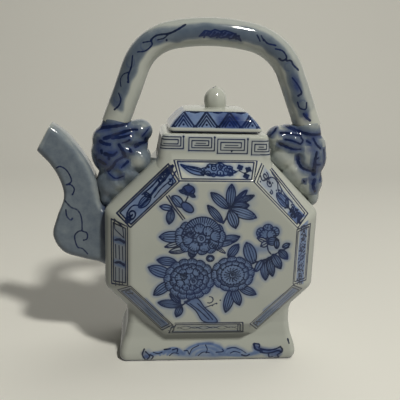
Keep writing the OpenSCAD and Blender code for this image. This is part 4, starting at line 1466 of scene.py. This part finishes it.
def paint_handle(along, turned, half_length):
    """Washed band along the front and the back of the arch, with scrolls in it."""
    p = Painting(along, HANDLE_R * np.abs(turned))
    to_left = np.clip((-along - 18) / 22, 0, 1)
    to_right = np.clip((along - 30) / 20, 0, 1)
    waver = 0.5 * np.sin(along * 0.23) + 0.3 * np.sin(along * 0.61 + 1)
    low = 7.4 - 4.4 * to_left + 1.4 * to_right + waver * 0.6
    high = 14.6 - 2.6 * to_left + 0.6 * to_right + waver
    band = np.clip((p.v - low) / 4.6 + 0.4, 0, 1) * np.clip((high - p.v) / 2.2 + 0.5, 0, 1)
    ends = np.clip((half_length - 8 - np.abs(along) + 0.2 * (p.v - 8)) / 2, 0, 1)
    p.wash = np.clip((1.08 - 0.2 * to_left - 0.2 * to_right) * band + 0.3 * to_left * (p.v < low), 0, 1) * ends
    p.wash = np.maximum(p.wash, 0.16 * (p.v < 12) * ends)
    scrolls = [
        ([[-14, 7], [-18, 9], [-23, 10.2], [-29, 8.8], [-32, 9.4], [-33.4, 11.6], [-38, 11.4], [-41, 8.6]],
         0.95, 0.5),
        ([[-22.6, 10.2], [-26, 11.6], [-29.4, 11]], 0.5, 0.4),
        ([[-33, 9.6], [-36, 7.6]], 0.5, 0.6),
        ([[-43.6, 7.4], [-48, 9.2], [-53, 9.2], [-56.4, 10.4]], 0.5, 0.9),
        ([[-51.6, 8.8], [-54, 6.2], [-57, 5.6], [-60, 7.4]], 0.5, 0.4),
        ([[-63.6, 7.4], [-66.4, 9.8], [-69.6, 9.8], [-72.4, 8.4]], 0.5, 0.8),
        ([[22, 9.8], [24.4, 12.2]], 0.6, 0.5),
        ([[24, 9.4], [26, 11.4]], 0.5, 0.4),
        ([[25.6, 10.6], [28.6, 11.6], [32.4, 10.2]], 0.6, 0.7),
        ([[33.4, 11.6], [37, 9.8], [40.6, 10.6], [40.4, 13.2], [38.4, 13.8]], 0.6, 0.8),
        ([[41.8, 11.4], [43, 9.4], [45.4, 9.4], [48.4, 7.8]], 0.7, 0.9),
        ([[51, 12.4], [55.6, 10.8], [60, 10.2], [61, 12.4]], 0.6, 0.9),
        ([[64, 13.8], [67.4, 13.6], [69, 10.8], [66, 9.2]], 0.6, 0.7),
        ([[71, 12.6], [73, 12], [75.6, 10.4]], 1.1, 1.1)]
    for path, width, end in scrolls:
        p.stroke(path, width, end, 6)
    for u, v in ((-25, 13), (-32, 9.2), (-56.4, 10.2), (39, 13.6), (48, 8)):
        p.dot(u, v, 1.1)
    curls = ((-36, 9.6, 2.6), (-28, 10.4, 2.2), (-47, 8, 2.2), (-66, 7.6, 2.4), (45, 12, 2.2), (66, 11.6, 2.2))
    for u, v, r in curls:
        p.smear(arc(u, v, r, 20, 250, 8), 0.9, 0.35, "deep")
    # Dark tuft on top
    tuft = [[-7.6, 13.6], [-4.6, 10.8], [-1.4, 11.2], [0.6, 10.2], [3.4, 11], [5.6, 10.4], [10, 11.2],
            [13.6, 13], [14.8, 14.6], [11.6, 13.4], [9, 14.2], [6.4, 13.4], [4, 14.4], [1.6, 13.2],
            [-1, 14], [-4, 13]]
    p.area(tuft, 0.9, 0.55, 0.5, True, 0.5)
    for k in range(11):
        u = -6.4 + 1.8 * k
        p.stroke([[u, 13.4 + 0.5 * sin(3 * k)], [u + 1.5, 11.8 + 0.4 * sin(2 * k)]], 0.7, 0.9)
    for k in range(6):
        p.dot(-5 + 3.4 * k, 14.2 - 0.3 * (k % 2), 0.9)
    p.shade(3, 12.4, 10, 2.6, 0.4)
    # Dark patches down the right leg
    p.shade(55.4, 11.4, 6.4, 2.8, 0.75)
    p.shade(73, 11.4, 4, 2.6, 0.85)
    p.shade(-70, 8, 6, 3, 0.25)
    return p


def paint_lid(points, half_w, half_d, z0):
    """Chevrons over a washed band on the slopes of the cover."""
    x, y, z = points.T
    whole = Painting(x, z)
    on_slope = np.clip((z - z0 - 2.45) / 0.6, 0, 1) * np.clip((z0 + 10.9 - z) / 0.6, 0, 1)
    facing = np.abs(y) / half_d - np.abs(x) / half_w * 0.98
    for side in (-1, 1):
        mask = (y * side > 0) & (facing > -0.02)
        p = whole.part(mask, -side * x, z)
        p.wash = 0.6 * on_slope[mask]
        low, high = z0 + 3.05, z0 + 10.6
        for at in (-16.8, -4.9, 7, 18.9):
            for inner, width in ((0, 0.8), (1.5, 0.5), (2.9, 0.5)):
                wide = 5.6 - inner * 1.1
                p.stroke([[at - wide, low + 0.3], [at, high - inner * 1.3], [at + wide, low + 0.3]], width)
            p.dot(at, low + 1.2, 1.0)
        for at in (-22, -10.8, 1, 13, 22):
            p.stroke([[at - 2.2, high - 0.1], [at, high - 0.5], [at + 2.2, high - 0.1]], 0.8, 0.8)
            p.stroke([[at - 0.9, low], [at, low + 0.6], [at + 0.9, low]], 0.7, 0.7)
        p.shade(4.8, low + 2.8, 5.4, 5, 1.0)
        p.shade(9.4, low + 3.4, 5, 5, 1.2)
        p.shade(14, low + 2, 4.4, 2.6, 0.5)
        p.shade(-15.5, low + 4, 4, 3, 0.25)
        p.stroke([[-20, high], [20, high]], 0.45, 0.45)
        p.deep *= on_slope[mask]
        p.show_only(on_slope[mask] > 0.3)
        whole.give_back(p)
    for side in (-1, 1):
        mask = (x * side > 0) & (facing <= -0.02)
        p = whole.part(mask, side * y, z)
        p.wash = 0.5 * on_slope[mask]
        for inner in (0, 1.5, 2.9):
            wide = 4.9 - inner
            p.stroke([[-wide, z0 + 3.9], [0, z0 + 10.6 - inner * 1.3], [wide, z0 + 3.9]], 0.6, 0.6)
        p.show_only(on_slope[mask] > 0.3)
        whole.give_back(p)
    # Painted shadow of the gap between the lid and the neck, as a dark band along the foot of the rim
    whole.away = np.minimum(whole.away, z - z0 - 0.95)
    return whole


# ---------------------------------------------------------------- material

def shader_node(tree, kind, settings=None, **inputs):
    """Adds a node, sets its properties and its inputs. A socket given as an input is linked."""
    node = tree.nodes.new(kind)
    for key, value in (settings or {}).items():
        setattr(node, key, value)
    for key, value in inputs.items():
        socket = node.inputs[int(key[1:])] if key[0] == "i" and key[1:].isdigit() else node.inputs[key]
        if isinstance(value, bpy.types.NodeSocket):
            tree.links.new(value, socket)
        else:
            socket.default_value = value
    return node


def mix_colour(tree, share, first, second):
    """Mixes two colours and returns the result's socket."""
    node = tree.nodes.new("ShaderNodeMix")
    node.data_type = "RGBA"
    for socket, value in ((node.inputs[0], share), (node.inputs[6], first), (node.inputs[7], second)):
        if isinstance(value, bpy.types.NodeSocket):
            tree.links.new(value, socket)
        else:
            socket.default_value = value
    return node.outputs[2]


def math_node(tree, operation, first, second=0.0, clamp=False):
    """Does a sum and returns the result's socket."""
    return shader_node(tree, "ShaderNodeMath", {"operation": operation, "use_clamp": clamp},
                       i0=first, i1=second).outputs[0]


def noise(tree, place, scale, detail=2.0, rough=0.5):
    """Cloudy values round 0.5."""
    return shader_node(tree, "ShaderNodeTexNoise", {}, Vector=place, Scale=scale, Detail=detail,
                       Roughness=rough).outputs["Fac"]


def span(tree, value, low, high, to_low=0.0, to_high=1.0, smooth=False):
    """Maps the range from low to high onto another one, and clamps to it."""
    settings = {"interpolation_type": "SMOOTHSTEP" if smooth else "LINEAR", "clamp": True}
    node = shader_node(tree, "ShaderNodeMapRange", settings, i0=value, i1=low, i2=high, i3=to_low, i4=to_high)
    return node.outputs[0]


WHITE = (0.555, 0.57, 0.52, 1)
WHITE_DULL = (0.51, 0.53, 0.48, 1)
BLUE_WASH = ((0.21, 0.29, 0.48, 1), (0.10, 0.16, 0.32, 1))
GREY_WASH = ((0.222, 0.262, 0.30, 1), (0.088, 0.12, 0.175, 1))
COBALT = (0.014, 0.034, 0.17, 1)
INK = (0.006, 0.012, 0.042, 1)
SPECK = (0.25, 0.22, 0.16, 1)


def porcelain(name, washes=None, relief=0.0):
    """Glazed porcelain: a slightly green white with brushed cobalt under the glaze."""
    material = bpy.data.materials.new(name)
    material.use_nodes = True
    tree = material.node_tree
    shader = tree.nodes["Principled BSDF"]
    place = shader_node(tree, "ShaderNodeTexCoord").outputs["Object"]
    cloud = noise(tree, place, 28, 3)
    colour = mix_colour(tree, span(tree, cloud, 0.35, 0.7), WHITE, WHITE_DULL)
    specks = span(tree, noise(tree, place, 900, 1), 0.77, 0.82, 0, 0.5)
    colour = mix_colour(tree, specks, colour, SPECK)
    if washes:
        thin, full = washes
        wash, deep, ink = [shader_node(tree, "ShaderNodeAttribute", {"attribute_name": layer}).outputs["Fac"]
                           for layer in ("wash", "deep", "ink")]
        pool = noise(tree, place, 260, 3, 0.6)
        brush = noise(tree, place, 90, 2)
        amount = math_node(tree, "MULTIPLY", wash, span(tree, brush, 0.3, 0.7, 0.8, 1.2), True)
        tone = mix_colour(tree, span(tree, pool, 0.3, 0.72, 0.0, 0.55), thin, full)
        tone = mix_colour(tree, span(tree, amount, 0.5, 1.0, 0, 0.8), tone, full)
        colour = mix_colour(tree, span(tree, amount, 0.0, 0.5), colour, tone)
        depth = math_node(tree, "MULTIPLY", deep, span(tree, pool, 0.3, 0.7, 0.75, 1.25), True)
        colour = mix_colour(tree, depth, colour, COBALT)
        line = span(tree, ink, 0.24, 0.52, 0, 1, True)
        load = span(tree, noise(tree, place, 420, 2), 0.3, 0.7, 0.9, 1.0)
        line = math_node(tree, "MULTIPLY", line, load, True)
        dark = mix_colour(tree, span(tree, brush, 0.35, 0.7, 0, 0.45), INK, COBALT)
        colour = mix_colour(tree, line, colour, dark)
    tree.links.new(colour, shader.inputs["Base Color"])
    gloss = span(tree, noise(tree, place, 140, 2), 0.3, 0.7, 0.05, 0.1)
    tree.links.new(gloss, shader.inputs["Roughness"])
    waves = noise(tree, place, 75, 1)
    peel = noise(tree, place, 700, 2)
    height = math_node(tree, "ADD", waves, math_node(tree, "MULTIPLY", peel, 0.06))
    if relief:
        tooling = noise(tree, place, 330, 1, 0.4)
        height = math_node(tree, "ADD", height, math_node(tree, "MULTIPLY", tooling, relief))
    bump = shader_node(tree, "ShaderNodeBump", {}, Strength=0.25, Distance=0.0006, Height=height)
    tree.links.new(bump.outputs["Normal"], shader.inputs["Normal"])
    shader.inputs["IOR"].default_value = 1.5
    shader.inputs["Coat Weight"].default_value = 0.2
    shader.inputs["Coat Roughness"].default_value = 0.06
    return material


# ---------------------------------------------------------------- scene

LAMP_COLOUR = (1.0, 0.985, 0.9)


def plain_material(name, settings):
    """Material with only these inputs set."""
    material = bpy.data.materials.new(name)
    material.use_nodes = True
    shader = material.node_tree.nodes["Principled BSDF"]
    for key, value in settings.items():
        shader.inputs[key].default_value = value
    return material


def make_backdrop():
    """Pale floor that curves up into a wall well behind the teapot."""
    half_w, length, wall_y = 3, 3, 0.45
    line = np.vstack([[[-length, 0]], arc(0, 0.5, 0.5, -90, 0, 24), [[0.5, 3]]])
    points = [[x, wall_y + y, z] for x in (-half_w, half_w) for y, z in line]
    n = len(line)
    backdrop = new_object("backdrop", points, [[i, i + n, i + n + 1, i + 1] for i in range(n - 1)])
    backdrop.data.shade_smooth()
    backdrop.data.materials.append(plain_material("pale_paper", {
        "Base Color": (0.86, 0.845, 0.80, 1), "Roughness": 0.9, "Specular IOR Level": 0.1}))
    backdrop.visible_diffuse = False
    backdrop.visible_glossy = False


def make_reflector():
    """White card behind the teapot that only shows in the glaze of its upper faces."""
    card = new_object("reflector", [[-1, 0.9, 0], [1, 0.9, 0], [1, 0.9, 1], [-1, 0.9, 1]], [[0, 1, 2, 3]])
    card.data.materials.append(plain_material("white_card", {
        "Base Color": (0, 0, 0, 1), "Emission Color": (*LAMP_COLOUR, 1), "Emission Strength": 0.6}))
    card.visible_camera = False
    card.visible_diffuse = False
    card.visible_shadow = False


def add_light(name, place, target, size, power):
    data = bpy.data.lights.new(name, "AREA")
    data.shape = "DISK"
    data.size = size
    data.energy = power
    data.color = LAMP_COLOUR
    lamp = bpy.data.objects.new(name, data)
    lamp.location = place
    lamp.rotation_mode = "QUATERNION"
    lamp.rotation_quaternion = (Vector(target) - Vector(place)).to_track_quat("-Z", "Y")
    bpy.context.scene.collection.objects.link(lamp)
    return lamp


def make_lights():
    add_light("key", (0.335, -0.70, 1.12), (0, 0, 0.06), 0.13, 10.8)
    ceiling = add_light("ceiling", (0.3, 0.5, 1.5), (0, 0, 0.1), 1.1, 5)
    ceiling.visible_glossy = False
    world = bpy.data.worlds.new("room")
    world.use_nodes = True
    background = world.node_tree.nodes["Background"]
    background.inputs[0].default_value = (*LAMP_COLOUR, 1)
    # The room is brighter low down, where the table throws light back, and on the right
    tree = world.node_tree
    way = shader_node(tree, "ShaderNodeSeparateXYZ",
                      i0=shader_node(tree, "ShaderNodeTexCoord").outputs["Generated"])
    below = span(tree, way.outputs[2], 0.1, -0.9, 0.0, 0.39)
    beside = span(tree, way.outputs[0], 0.0, 1.0, 0.035, 0.26)
    tree.links.new(math_node(tree, "ADD", below, beside), background.inputs[1])
    bpy.context.scene.world = world


def make_camera():
    """Camera a little left of the teapot and above it, rolled by under two degrees."""
    position = Vector((-0.03675, -0.3269, 0.1748))
    target = Vector((-0.00556, 0, 0.0872))
    roll = radians(1.79)
    ahead = (target - position).normalized()
    level = ahead.cross(Vector((0, 0, 1))).normalized()
    upright = level.cross(ahead)
    right = level * cos(roll) + upright * sin(roll)
    up = upright * cos(roll) - level * sin(roll)
    data = bpy.data.cameras.new("camera")
    data.sensor_width = 36
    data.lens = 54.85
    data.clip_start = 0.01
    camera = bpy.data.objects.new("camera", data)
    camera.matrix_world = Matrix.Translation(position) @ Matrix((right, up, -ahead)).transposed().to_4x4()
    bpy.context.scene.collection.objects.link(camera)
    bpy.context.scene.camera = camera


def build():
    bpy.context.scene.view_settings.view_transform = "Standard"
    make_camera()
    make_lights()
    make_backdrop()
    make_reflector()
    painted = porcelain("painted_porcelain", BLUE_WASH)
    washed = porcelain("washed_porcelain", GREY_WASH)
    plain = porcelain("plain_porcelain", BLUE_WASH)
    carved = porcelain("carved_porcelain", GREY_WASH, 2.2)
    make_moulding("front_moulding", -1, painted)
    make_moulding("back_moulding", 1, painted)
    make_side_wall(washed)
    make_neck(painted)
    make_foot(painted)
    make_spout(washed)
    make_handle(washed)
    make_lug("left_lug", -1, LEFT_BALLS, LEFT_GROOVES, LEFT_STROKES, LEFT_PATCHES, carved)
    make_lug("right_lug", 1, RIGHT_BALLS, RIGHT_GROOVES, RIGHT_STROKES, RIGHT_PATCHES, carved)
    make_lid_cover(painted)
    make_lid_flange(plain)
    make_lid_knob(plain)


build()
